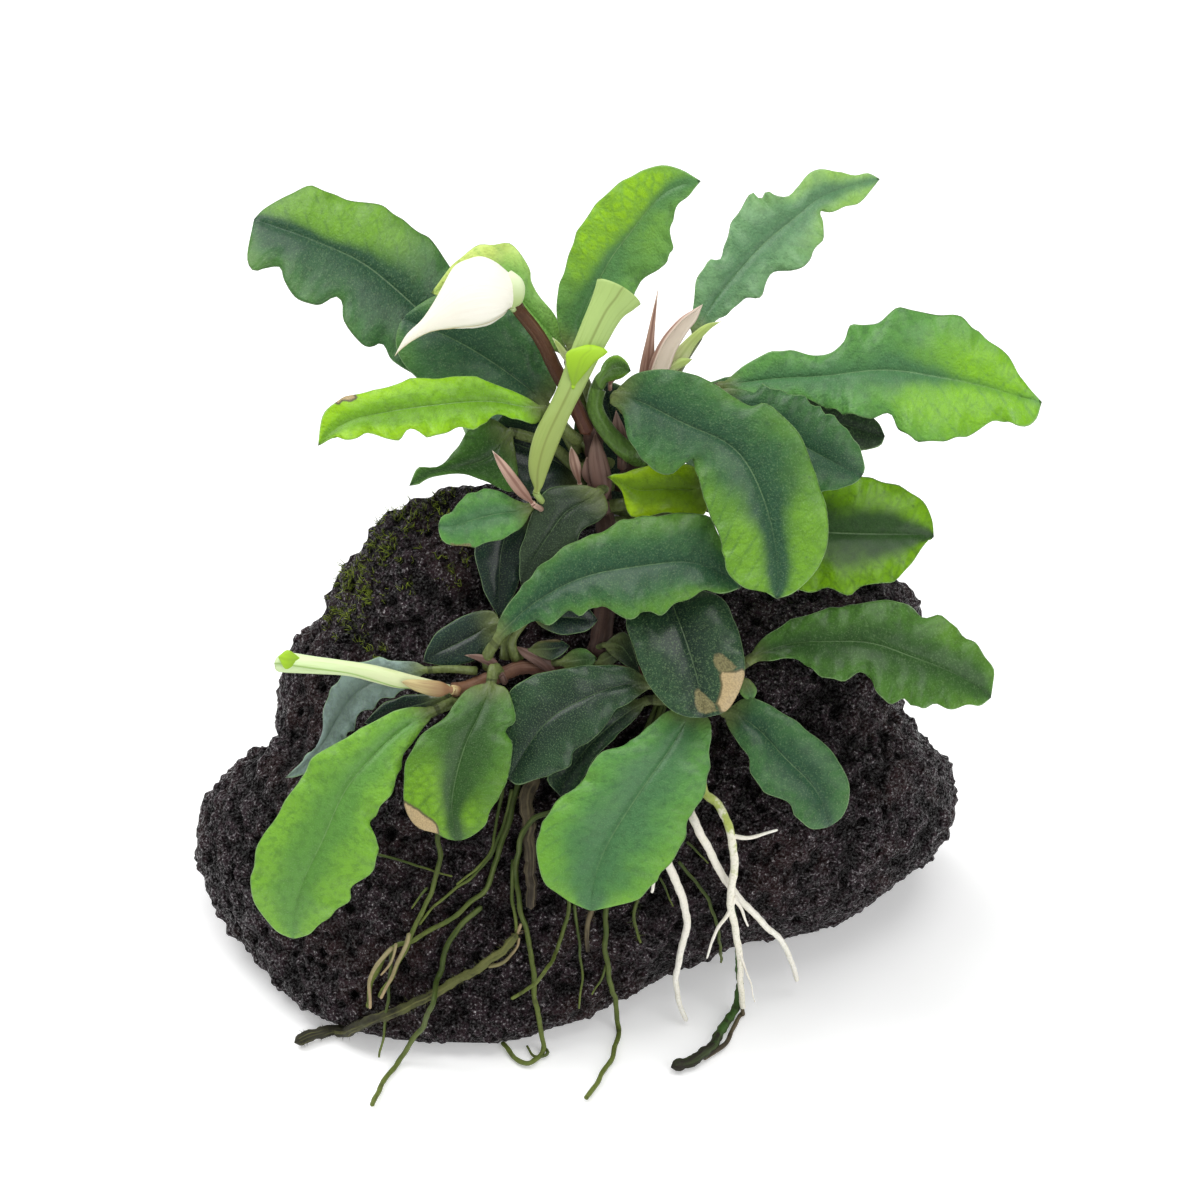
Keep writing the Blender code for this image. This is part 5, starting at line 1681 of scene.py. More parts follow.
LEAVES = [
    Blade("leaf_upper_left", [(583, 446, 34), (540, 405, 34), (497, 371, 34)],
        [(470, 381), (440, 384), (413, 374), (393, 361), (382, 344), (371, 347), (360, 343), (344, 321),
         (342, 303), (335, 297), (318, 305), (298, 299), (284, 281), (280, 267), (266, 268), (253, 271),
         (247, 256)],
        [(489, 350), (475, 310), (449, 266), (433, 242), (405, 222), (380, 205), (345, 199), (312, 186),
         (290, 194), (265, 208)],
        (254, 219), (31, 25), lean=0.45, margin=0.25, crest=0.15, glow=[(0.72, 0.55, 0.26, 0.8)],
        ruffle=(0.15, 0.28)),
    Blade("leaf_behind_spathe_dark", [(577, 452, 36.8), (564, 430, 36.9), (546, 407, 37.4)],
        [(520, 412), (480, 408), (440, 394), (415, 376), (402, 362), (396, 345), (397, 332)],
        [(557, 385), (547, 362), (530, 330), (500, 302), (470, 290), (440, 294), (420, 304)],
        (402, 318), (38.6, 38), lean=0.15, margin=0.1, crest=0.3, ruffle=(0.2, 0.35)),
    Blade("leaf_behind_spathe_lime", [(588, 418, 33.6), (580, 395, 34.4), (567, 356, 35)],
        [(540, 345), (520, 330), (500, 318), (470, 308), (445, 300)],
        [(563, 336), (553, 312), (532, 285), (530, 268), (515, 248), (495, 243), (470, 250), (450, 268)],
        (431, 293), (34.8, 34.6), LeafTone.TENDER, lean=0.1, margin=0.3, crest=1, ruffle=(0.2, 0.5)),
    Blade("leaf_top_centre", [(596, 420, 34.6), (588, 390, 36), (572, 352, 37.6)],
        [(562, 340), (557, 318), (557, 295), (565, 268), (577, 232), (592, 210), (610, 190), (635, 174),
         (660, 165), (682, 170)],
        [(600, 335), (620, 315), (634, 298), (640, 281), (660, 269), (672, 250), (671, 228), (677, 208),
         (690, 194)],
        (701, 181), (40, 42.6), LeafTone.SPRING, lean=0.1, margin=0.1, crest=0.1,
        glow=[(0.6, -0.5, 0.4, 0.9)], ruffle=(0.25, 0.5), ruffle_length=3.8),
    Blade("leaf_top_right", [(652, 404, 34), (668, 385, 33), (684, 358, 32.6), (697, 338, 32.4)],
        [(689, 326), (693, 308), (695, 285), (704, 268), (710, 259), (720, 259), (726, 240), (733, 220),
         (744, 204), (753, 193), (760, 200), (766, 190), (776, 196), (788, 197), (797, 186), (808, 175),
         (824, 169), (853, 175), (868, 173)],
        [(708, 331), (717, 320), (728, 314), (744, 299), (759, 298), (766, 283), (776, 271), (792, 271),
         (805, 267), (812, 254), (823, 238), (823, 220), (816, 210), (830, 212), (849, 206), (865, 198),
         (873, 188)],
        (880, 179), (29, 23), LeafTone.GREEN_PAINTED_SHEEN, lean=0.3, margin=0.2, crest=0.6, ruffle=(0.35, 0.4),
        ruffle_length=4),
    Blade("leaf_right_large", [(662, 424, 38.6), (690, 402, 39.2), (718, 387, 39.8)],
        [(745, 365), (770, 352), (795, 351), (825, 356), (843, 342), (852, 324), (875, 325), (898, 308),
         (935, 315), (957, 315), (982, 335), (1006, 354), (1025, 383)],
        [(745, 400), (780, 402), (800, 398), (820, 405), (850, 415), (870, 417), (890, 415), (900, 430),
         (925, 442), (965, 436), (1000, 420), (1018, 427), (1035, 421)],
        (1042, 402), (41, 43.5), LeafTone.MID, lean=0.35, margin=0.1, crest=0.45,
        glow=[(0.76, 0.4, 0.3, 0.6), (0.84, -0.4, 0.22, 0.5)], ruffle=(0.35, 0.55), ruffle_length=3.8),
    Blade("leaf_centre_large", [(650, 446, 40), (638, 428, 41), (622, 406, 43), (613, 395, 45)],
        [(622, 384), (640, 372), (675, 370), (710, 381), (735, 398), (752, 406), (768, 404), (800, 435),
         (817, 478), (828, 515), (827, 545), (817, 570), (795, 592)],
        [(610, 404), (622, 412), (629, 440), (650, 467), (672, 474), (690, 457), (697, 475), (706, 505),
         (720, 540), (727, 570), (742, 587), (765, 592)],
        (777, 599), (51.5, 56), lean=0.1, margin=0.4, crest=0.4, glow=[(0.75, 0.5, 0.16, 0.5),
        (0.8, -0.5, 0.16, 0.4)], ruffle=(0.15, 0.25)),
    Blade("leaf_right_notched", [(664, 440, 40.6), (690, 412, 42.2), (716, 390, 43.2)],
        [(730, 388), (745, 390), (757, 393), (763, 384), (785, 394), (798, 394), (822, 410), (840, 422),
         (858, 445), (865, 467)],
        [(712, 410), (725, 440), (760, 470), (800, 488), (822, 492), (845, 487), (857, 482)],
        (862, 476), (46, 45), lean=0.05, margin=0.1, crest=0.15, ruffle=(0.7, 0.45), ruffle_length=2.8),
    Blade("leaf_right_olive", [(662, 432, 35), (700, 412, 35.6), (738, 404, 36)],
        [(760, 392), (800, 394), (840, 401), (862, 410), (878, 422)],
        [(760, 422), (800, 436), (840, 446), (862, 450), (880, 446)],
        (885, 436), (37.4, 38), LeafTone.OLIVE, lean=0.2, margin=0.2, crest=0.2),
    Blade("leaf_right_bright", [(618, 505, 38), (660, 500, 38.6), (700, 505, 39.2), (735, 515, 39.6)],
        [(755, 490), (790, 474), (835, 476), (860, 476), (882, 481), (903, 488), (922, 500), (932, 519)],
        [(750, 550), (775, 580), (802, 592), (825, 588), (848, 595), (862, 587), (895, 580), (912, 563),
         (926, 541)],
        (934, 537), (42, 41), LeafTone.VIVID, lean=0.35, margin=0.9, crest=0.4, ruffle=(0.3, 0.55)),
    Blade("leaf_crown_yellow", [(668, 452, 38.6), (690, 447, 39.8), (712, 460, 41), (712, 482, 41.8)],
        [(706, 512), (692, 518), (670, 513), (645, 517), (630, 517), (624, 497), (618, 485)],
        [(700, 470), (680, 463), (645, 466), (625, 473), (614, 474)],
        (607, 477), (42.2, 41.5), LeafTone.YELLOW, lean=0.1, margin=0.7, crest=0.5, ruffle=(0.4, 0.2)),
    Blade("leaf_front_horizontal", [(489, 667, 41.4), (488, 654, 41.6), (497, 641, 42.5)],
        [(499, 620), (523, 585), (556, 553), (585, 537), (600, 533), (620, 521), (650, 516), (680, 514),
         (706, 515), (722, 540), (736, 570)],
        [(525, 626), (536, 620), (550, 626), (567, 611), (580, 615), (600, 606), (620, 616), (634, 619),
         (645, 611), (661, 615), (675, 604), (690, 598), (707, 590), (722, 594)],
        (741, 588), (47, 48.5), lean=0.3, margin=0.45, crest=0.1, ruffle=(0.4, 0.35), ruffle_length=3.6),
    Blade("leaf_left_bright", [(577, 440, 39.2), (563, 428, 41.2), (545, 410, 43)],
        [(536, 424), (514, 418), (501, 415), (489, 419), (475, 430), (458, 426), (446, 434), (431, 437),
         (411, 430), (400, 438), (387, 440), (369, 432), (358, 439), (346, 441), (332, 436)],
        [(528, 398), (505, 388), (472, 376), (443, 378), (415, 378), (383, 388), (352, 395), (338, 400),
         (325, 412), (320, 428)],
        (318, 446), (46, 47.5), LeafTone.LEMON, lean=0.35, margin=0.6, crest=0.5, ruffle=(0.6, 0.25),
        tan=[[(333, 400), (337, 393), (348, 389), (357, 398), (350, 401), (343, 400), (338, 404)]]),
    Blade("leaf_left_dark", [(578, 468, 35.8), (550, 445, 35.8), (512, 432, 36.2)],
        [(517, 462), (518, 480), (511, 492), (484, 481), (462, 474), (431, 477), (420, 484)],
        [(490, 418), (468, 430), (455, 451), (438, 466), (418, 468)],
        (409, 486), (37.6, 38.5), LeafTone.FOREST, lean=0.3, margin=0.1, crest=0.1, ruffle=(0.3, 0.3)),
    Blade("leaf_left_small", [(542, 507, 39.2), (533, 505, 40.8)],
        [(531, 512), (522, 527), (505, 537), (477, 546), (458, 546), (445, 543), (440, 536)],
        [(528, 504), (514, 499), (497, 490), (477, 491), (461, 499), (452, 512), (442, 516)],
        (438, 526), (42.6, 43), LeafTone.MID, lean=0.2, radius=0.6, margin=0, crest=0, ruffle=(0.5, 0.4),
        ruffle_length=3, olive=[[(450, 542), (458, 544), (466, 543), (473, 543), (472, 548), (450, 548)]]),
    Blade("leaf_crown_hanging", [(614, 484, 36.4), (606, 487, 38.8), (600, 491, 40.1)],
        [(606, 498), (608, 510), (600, 520), (583, 530), (575, 545), (559, 557), (545, 568), (533, 578)],
        [(585, 485), (560, 486), (545, 491), (537, 503), (528, 525), (521, 548), (519, 572)],
        (521, 585), (41.2, 40), LeafTone.OLIVE, lean=0.1, margin=0, crest=0, ruffle=(0.3, 0.3)),
    Blade("leaf_shaded_vertical", [(545, 517, 36.6), (530, 510, 37), (520, 505, 37.2)],
        [(529, 520), (528, 550), (520, 580), (508, 605)],
        [(500, 510), (480, 530), (475, 550), (478, 570), (486, 595)],
        (499, 618), (38, 37.4), LeafTone.SHADE, lean=0.1, margin=0.1, crest=0),
    Blade("leaf_shaded_left", [(506, 658, 39.6), (506, 642, 39), (500, 624, 38.4)],
        [(496, 640), (480, 656), (466, 664), (445, 666)],
        [(495, 612), (478, 611), (455, 620), (438, 632), (427, 648)],
        (423, 662), (38.6, 38.2), LeafTone.SHADE, lean=0.1, margin=0.1, crest=0.1),
    Blade("leaf_underside_grey", [(476, 671, 41.6), (450, 669, 41.4), (428, 670, 41)],
        [(404, 690), (382, 701), (362, 713), (352, 730), (335, 748), (316, 764), (300, 776)],
        [(416, 662), (396, 661), (376, 658), (348, 666), (338, 679), (327, 698), (323, 715), (322, 738),
         (310, 752), (295, 768)],
        (285, 778), (39.6, 37), LeafTone.GREY, lean=0.05, radius=0.5, margin=0.1, crest=0.2,
        ruffle=(0.9, 0.6), ruffle_length=3.4),
    Blade("leaf_low_left", [(461, 700, 41.2), (447, 705, 41.7), (434, 711, 42.2)],
        [(430, 720), (419, 733), (404, 756), (400, 770), (394, 785), (390, 797), (379, 810), (370, 822),
         (377, 838), (377, 858), (369, 875), (352, 888), (348, 901), (322, 922), (310, 934)],
        [(424, 707), (404, 708), (388, 714), (360, 729), (337, 743), (312, 757), (304, 775), (290, 793),
         (275, 819), (257, 845), (254, 867), (250, 885), (256, 905), (275, 930)],
        (293, 939), (45, 38), LeafTone.FRESH, lean=0.15, margin=0.2, crest=0, ruffle=(0.55, 0.2)),
    Blade("leaf_low_centre", [(494, 668, 42.6), (491, 684, 42.8)],
        [(505, 687), (512, 700), (515, 721), (506, 731), (512, 745), (511, 765), (503, 790), (492, 808),
         (486, 824), (472, 836)],
        [(480, 684), (466, 690), (452, 707), (447, 716), (430, 728), (416, 743), (407, 760), (403, 790),
         (407, 812), (418, 828), (435, 833), (447, 839)],
        (459, 841), (46.6, 44.5), LeafTone.FOREST, lean=0.05, margin=0.3, crest=0.3,
        glow=[(0.72, 0.5, 0.2, 0.8), (0.8, -0.4, 0.14, 0.5)], ruffle=(0.35, 0.35), tan=[[(402, 800),
        (404, 812), (416, 832), (438, 833), (436, 824), (424, 814), (412, 806)]]),
    Blade("leaf_low_dark", [(672, 688, 41.8), (655, 685, 42.2)],
        [(640, 695), (623, 707), (614, 712), (598, 735), (575, 751), (570, 766), (555, 773), (535, 780),
         (518, 785)],
        [(630, 668), (598, 665), (553, 670), (520, 682), (506, 700), (500, 730), (503, 765)],
        (509, 780), (43.6, 42), LeafTone.DUSK, lean=0.1, margin=0, crest=0),
    Blade("leaf_low_shaded", [(680, 700, 40.2), (665, 700, 40), (648, 700, 39.8)],
        [(638, 716), (623, 730), (605, 748), (591, 764), (580, 785), (572, 797)],
        [(630, 700), (600, 718), (575, 740), (555, 765), (547, 780)],
        (561, 797), (40, 39.4), LeafTone.DUSK, lean=0, margin=0.1, crest=0.1),
    Blade("leaf_bottom_large", [(700, 697, 42), (692, 708, 43)],
        [(703, 713), (711, 724), (710, 750), (708, 777), (701, 801), (689, 818), (684, 841), (673, 858),
         (655, 882), (638, 899), (615, 906)],
        [(668, 711), (649, 726), (626, 744), (604, 751), (590, 765), (583, 781), (562, 797), (547, 815),
         (538, 836), (537, 860), (545, 883), (557, 893), (572, 903)],
        (591, 911), (46.6, 44.5), LeafTone.MID, lean=0.05, margin=0.3, crest=0.3, ruffle=(0.4, 0.35),
        ruffle_length=3.8),
    Blade("leaf_patched", [(622, 552, 39), (645, 572, 40.6), (667, 588, 42)],
        [(700, 590), (722, 598), (732, 615), (741, 640), (745, 662), (743, 682), (736, 698), (725, 712)],
        [(637, 602), (626, 622), (633, 646), (642, 672), (655, 694), (671, 710), (687, 717)],
        (704, 718), (47.4, 49.5), LeafTone.DUSK, lean=0, margin=0, crest=0, ruffle=(0.15, 0.12),
        tan=[[(719, 669), (727, 672), (736, 672), (743, 669), (747, 676), (747, 691), (743, 702),
        (736, 710), (722, 713), (717, 704), (721, 695), (722, 684)]], olive=[[(711, 656), (717, 652),
        (724, 654), (730, 660), (740, 666), (732, 672), (719, 673), (714, 666)], [(693, 691), (697, 688),
        (703, 691), (712, 700), (719, 711), (706, 715), (698, 713), (694, 705)]]),
    Blade("leaf_right_low", [(716, 689, 41.6), (732, 672, 42.8), (748, 661, 43.6)],
        [(759, 642), (784, 624), (814, 612), (850, 605), (876, 601), (903, 602), (921, 616), (940, 616),
         (955, 625), (963, 637), (976, 642), (985, 658), (994, 670), (993, 685)],
        [(765, 661), (793, 659), (805, 664), (823, 677), (845, 680), (860, 673), (870, 677), (877, 694),
         (893, 703), (905, 700), (921, 709), (935, 703), (948, 710), (967, 705), (980, 706)],
        (991, 698), (46, 43), LeafTone.FOREST, lean=0.35, margin=0.15, crest=0.3, ruffle=(0.4, 0.55),
        ruffle_length=3.8),
    Blade("leaf_right_bottom", [(715, 702, 42), (724, 712, 42.6)],
        [(744, 698), (759, 700), (790, 717), (808, 731), (826, 746), (840, 763), (849, 785), (849, 801),
         (842, 817)],
        [(726, 722), (732, 734), (747, 755), (752, 775), (766, 793), (788, 803), (799, 820), (812, 829)],
        (829, 827), (45, 41), lean=0.2, margin=0.1, crest=0.1, ruffle=(0.25, 0.4)),
    Blade("leaf_crown_folded", [(626, 450, 40.6), (608, 432, 41), (595, 408, 41.6), (599, 384, 42)],
        [(601, 368), (608, 358), (618, 355), (627, 362)], [(612, 381), (622, 378)], (631, 371),
        (42.4, 42.4), LeafTone.FOLDED, lean=0, radius=1.15, margin=0.6, crest=0.4),
    Blade("leaf_under_horizontal", [(516, 659, 41.2), (512, 640, 41.6), (530, 614, 42.4)],
        [(545, 604), (565, 600), (585, 605)],
        [(540, 626), (552, 632), (565, 635), (580, 633), (590, 629)],
        (598, 620), (43.4, 43), LeafTone.SHADE, lean=0.1, radius=0.6, margin=0.2, crest=0.1),
    Blade("leaf_small_green", [(549, 662, 41.3), (557, 663, 41.4)], [(563, 657), (574, 649), (586, 649)],
        [(572, 671), (588, 670)], (597, 658), (41.5, 41.3), LeafTone.FOREST, lean=0, radius=0.5, margin=0.3,
        crest=0.2),
    Blade("leaf_back_left", [(586, 462, 32.8), (570, 442, 26), (547, 424, 19)],
        [(528, 458), (498, 464), (468, 440)], [(540, 388), (510, 366), (478, 364)], (452, 392), (6, -8),
        lean=0.1, margin=0.25, crest=0.25, ruffle=(0.35, 0.35)),
    Blade("leaf_back_right", [(612, 462, 32.6), (640, 446, 26), (675, 432, 18)],
        [(688, 396), (724, 378), (766, 386)], [(690, 468), (728, 480), (770, 454)], (792, 418), (6, -6),
        lean=0.1, margin=0.25, crest=0.25, ruffle=(0.35, 0.35)),
    Blade("leaf_back_low", [(606, 492, 32.6), (612, 494, 26), (618, 504, 17)],
        [(652, 512), (678, 542), (664, 574)], [(588, 520), (570, 548), (586, 576)], (628, 594), (1, -19),
        lean=-0.5, margin=0.2, crest=0.2, ruffle=(0.35, 0.35)),
]

SMALL_LEAVES = [
    Blade("leaf_hidden_left", [(472, 690, 39.6), (456, 693, 39.2), (446, 698, 38.8)],
        [(430, 712), (405, 722), (382, 729)], [(430, 694), (404, 696), (382, 705)], (364, 723),
        (38.2, 37.4), LeafTone.SHADE),
    Blade("leaf_behind_patched", [(735, 671, 43), (741, 678, 43.2)], [(749, 679), (757, 690)],
        [(738, 688), (743, 697)], (752, 702), (43.6, 43.8), LeafTone.MID, radius=0.4),
    Blade("leaf_crown_grey", [(594, 650, 40.6), (603, 645, 41)], [(615, 635), (627, 633), (635, 655)],
        [(610, 654), (622, 663)], (640, 674), (41.4, 41.2), LeafTone.OLIVE, radius=0.4),
    Blade("leaf_curled_margin", [(520, 658, 40.8), (528, 651, 41)], [(535, 643), (545, 640), (560, 640)],
        [(538, 656), (550, 660), (562, 655)], (570, 646), (41.4, 41.2), LeafTone.SHADE, radius=0.4,
        tan=[[(530, 651), (536, 643), (546, 641), (560, 641), (562, 636), (540, 634), (526, 646)]]),
    Blade("leaf_old_olive", [(588, 668, 40.6), (596, 664, 40.8)], [(600, 655), (612, 649)],
        [(604, 668), (616, 662)], (624, 650), (41.2, 41), LeafTone.OLIVE, radius=0.4),
    Blade("leaf_crown_dark", [(590, 488, 33.8), (584, 480, 34)], [(560, 494), (530, 496), (500, 482)],
        [(578, 440), (556, 412), (515, 404)], (484, 440), (34.2, 34), LeafTone.SHADE),
    Blade("leaf_crown_behind", [(628, 522, 32), (640, 520, 31.6)],
        [(602, 508), (584, 470), (574, 432), (580, 404)],
        [(694, 512), (680, 470), (656, 440), (644, 408), (622, 386)],
        (600, 380), (33, 34.4), LeafTone.SHADE),
]

SCROLLS = [
    Scroll("spathe", [(515, 302, 45), (511, 299, 45.6)],
        [(505, 315), (490, 327), (474, 331), (452, 331), (431, 333), (415, 340), (402, 349)],
        [(519, 282), (509, 272), (496, 261), (482, 255), (469, 257), (454, 265), (443, 284), (434, 301),
         (422, 319), (406, 335)],
        (394, 357), (46.5, 46), ScrollTone.SPATHE, radius=0.9, bulk=0.62, brink=(148, 168), turn=(1.1, 0.8),
        lap=0.09, thickness=0.35),
    Scroll("spathe_lobe", [(514, 310, 45.2), (512, 307, 45.8)], [(507, 302), (503, 290), (503, 279)],
        [(521, 304), (525, 291), (522, 279)], (511, 270), (46.8, 46.4), ScrollTone.SPATHE_BASE, radius=0.4,
        bulk=0.3, brink=(185, 185), turn=(0.52, 0.52), lap=0, thickness=0.25),
    Scroll("leaf_young_rolled", [(549, 507, 39.2), (541, 500, 41.6), (536, 493, 43.2)],
        [(529, 473), (529, 455), (535, 432), (551, 401), (560, 380), (570, 352), (582, 322), (592, 297),
         (597, 280)],
        [(542, 488), (549, 470), (558, 447), (573, 411), (584, 390), (596, 366), (608, 343), (622, 320),
         (634, 311), (641, 306)],
        (618, 288), (46.8, 49.5), ScrollTone.YOUNG, radius=0.5, bulk=0.55, brink=(300, 190),
        turn=(1.15, 0.56), lap=0.05, mouth=True, brow=1.2),
    Scroll("leaf_young_flag", [(572, 397, 46), (573, 388, 47.6)], [(569, 376), (566, 362), (568, 351)],
        [(583, 376), (595, 362), (608, 351)], (590, 344), (49.4, 49), ScrollTone.FLAG, radius=0.3,
        bulk=0.22, brink=(188, 188), turn=(0.54, 0.54), lap=0, thickness=0.25),
    Scroll("leaf_rolled_left", [(473, 686, 39.2), (463, 688, 39.8)],
        [(437, 692), (418, 690), (396, 689), (376, 684), (348, 677), (317, 675), (290, 674), (279, 673)],
        [(437, 681), (418, 676), (376, 665), (337, 659), (309, 655), (290, 652), (284, 653)],
        (280, 664), (43.4, 41), ScrollTone.PALE, radius=0.8, bulk=0.85, brink=(170, 100), turn=(1.15, 1.1),
        lap=0.14, mouth=True, brow=0.5),
    Scroll("leaf_rolled_lip", [(304, 658, 42), (301, 659, 42.6)], [(293, 666), (285, 669)],
        [(295, 654), (287, 650)], (278, 657), (42.8, 42.4), ScrollTone.FLAG, radius=0.3, bulk=0.3,
        brink=(185, 185), turn=(0.52, 0.52), lap=0, thickness=0.2),
    Scroll("sheath_spike", [(640, 396, 38), (643, 388, 38.6)], [(639, 372), (647, 335), (654, 305)],
        [(654, 372), (655, 335), (657, 305)], (659, 284), (40, 41), radius=0.8, bulk=0.6),
    Scroll("sheath_pink", [(650, 394, 39.4), (653, 386, 39.8)],
        [(648, 368), (660, 340), (678, 319), (692, 310)], [(668, 372), (676, 352), (688, 332), (697, 320)],
        (703, 304), (41.2, 41.8), radius=0.8, bulk=0.5, brink=(-8, -22), turn=(0.64, 0.58)),
    Scroll("sheath_spear", [(656, 392, 38), (661, 382, 38.2)], [(668, 360), (684, 341), (704, 325)],
        [(684, 366), (696, 346), (710, 330)], (722, 321), (39.4, 39.6), ScrollTone.SPEAR, radius=0.6),
    Scroll("sheath_left", [(549, 514, 39), (541, 509, 41.4), (534, 505, 43.6)], [(516, 494), (500, 470)],
        [(528, 490), (508, 464)], (492, 450), (44.6, 45), radius=0.4),
    Scroll("sheath_crown", [(605, 512, 38), (603, 505, 38.6)], [(592, 486), (588, 458)],
        [(613, 486), (608, 458)], (595, 432), (39.4, 39.2), ScrollTone.BROWN, radius=0.9, bulk=0.6),
    Scroll("bract_pink", [(582, 494, 37.6), (580, 486, 37.8)], [(571, 470), (569, 456)],
        [(582, 470), (578, 456)], (571, 446), (38.4, 38.8), radius=0.35),
    Scroll("bract_brown", [(592, 496, 38.2), (591, 488, 38.4)], [(582, 476), (583, 466)],
        [(594, 476), (592, 466)], (587, 456), (38.8, 39), ScrollTone.BROWN, radius=0.5),
    Scroll("bract_crown", [(622, 468, 38.2), (622, 460, 38.4)], [(611, 448), (611, 430)],
        [(629, 448), (626, 430)], (616, 410), (38.8, 38.4), ScrollTone.BROWN, radius=0.7),
    Scroll("bract_stalk", [(570, 372, 43.2), (568, 365, 43.4)], [(561, 356), (556, 346)],
        [(569, 355), (561, 344)], (552, 337), (44, 44.4), ScrollTone.SPEAR, radius=0.4),
    Scroll("bract_low", [(505, 683, 41), (502, 676, 41.4)], [(492, 668), (478, 661)],
        [(496, 659), (480, 654)], (464, 655), (41.6, 41.8), ScrollTone.BROWN, radius=0.5),
    Scroll("bract_low_upright", [(563, 686, 40.2), (558, 679, 40.6)], [(540, 668), (522, 656)],
        [(552, 660), (534, 650)], (516, 646), (41, 41.2), ScrollTone.BROWN, radius=0.7),
    Scroll("bract_white", [(610, 390, 41.6), (610, 385, 41.8)], [(606, 379), (608, 375)],
        [(616, 380), (616, 376)], (613, 371), (42.2, 42.4), radius=0.3),
    Scroll("bract_pale_right", [(654, 379, 39.6), (661, 374, 39.8)], [(668, 367), (680, 358)],
        [(670, 373), (684, 367)], (693, 359), (40.2, 40.6), ScrollTone.SPEAR, radius=0.5),
    Scroll("sheath_rolled_leaf", [(459, 691, 43.4), (454, 690, 43.6)], [(440, 697), (424, 694), (411, 689)],
        [(442, 681), (424, 679), (408, 679)], (401, 682), (44.6, 44.6), ScrollTone.TAN, radius=0.7,
        bulk=0.8),
]

STEMS = [
    Strand("rhizome_creeping", [(453, 690, 41.2), (468, 687, 40.4), (484, 682, 40), (517, 668, 40),
        (545, 669, 39.4), (590, 668, 38.9), (650, 676, 39.2), (705, 692, 39.8)], 1, 0.9, StrandTone.STEM,
        around=20, rings=2.6, knobs=0.04),
    Strand("rhizome_crown", [(598, 652, 38.9), (606, 600, 37.6), (607, 545, 36.4), (602, 500, 36),
        (595, 455, 36.2), (592, 432, 36.6)], 1.5, 1.3, StrandTone.BARK, around=22, rings=3, knobs=0.04),
    Strand("shoot_left", [(587, 507, 37.2), (570, 508, 37.3), (549, 508, 37.1)], 1, 0.9, StrandTone.BARK,
        around=18, rings=2.2, knobs=0.03),
    Strand("shoot_right", [(616, 486, 36.4), (636, 466, 36.8), (650, 430, 37), (651, 388, 37.4)], 1.15, 1,
        StrandTone.BARK, around=20, rings=2.6, knobs=0.04),
    Strand("flower_stalk", [(515, 303, 44.9), (519, 310, 43.8), (530, 324, 43.4), (542, 341, 43),
        (553, 364, 42.6), (566, 388, 41.8), (578, 412, 40.8), (587, 430, 39.8)], 0.9, 1.05,
        StrandTone.STALK, around=36, knobs=0.02, wander=0.05, flutes=12),
]

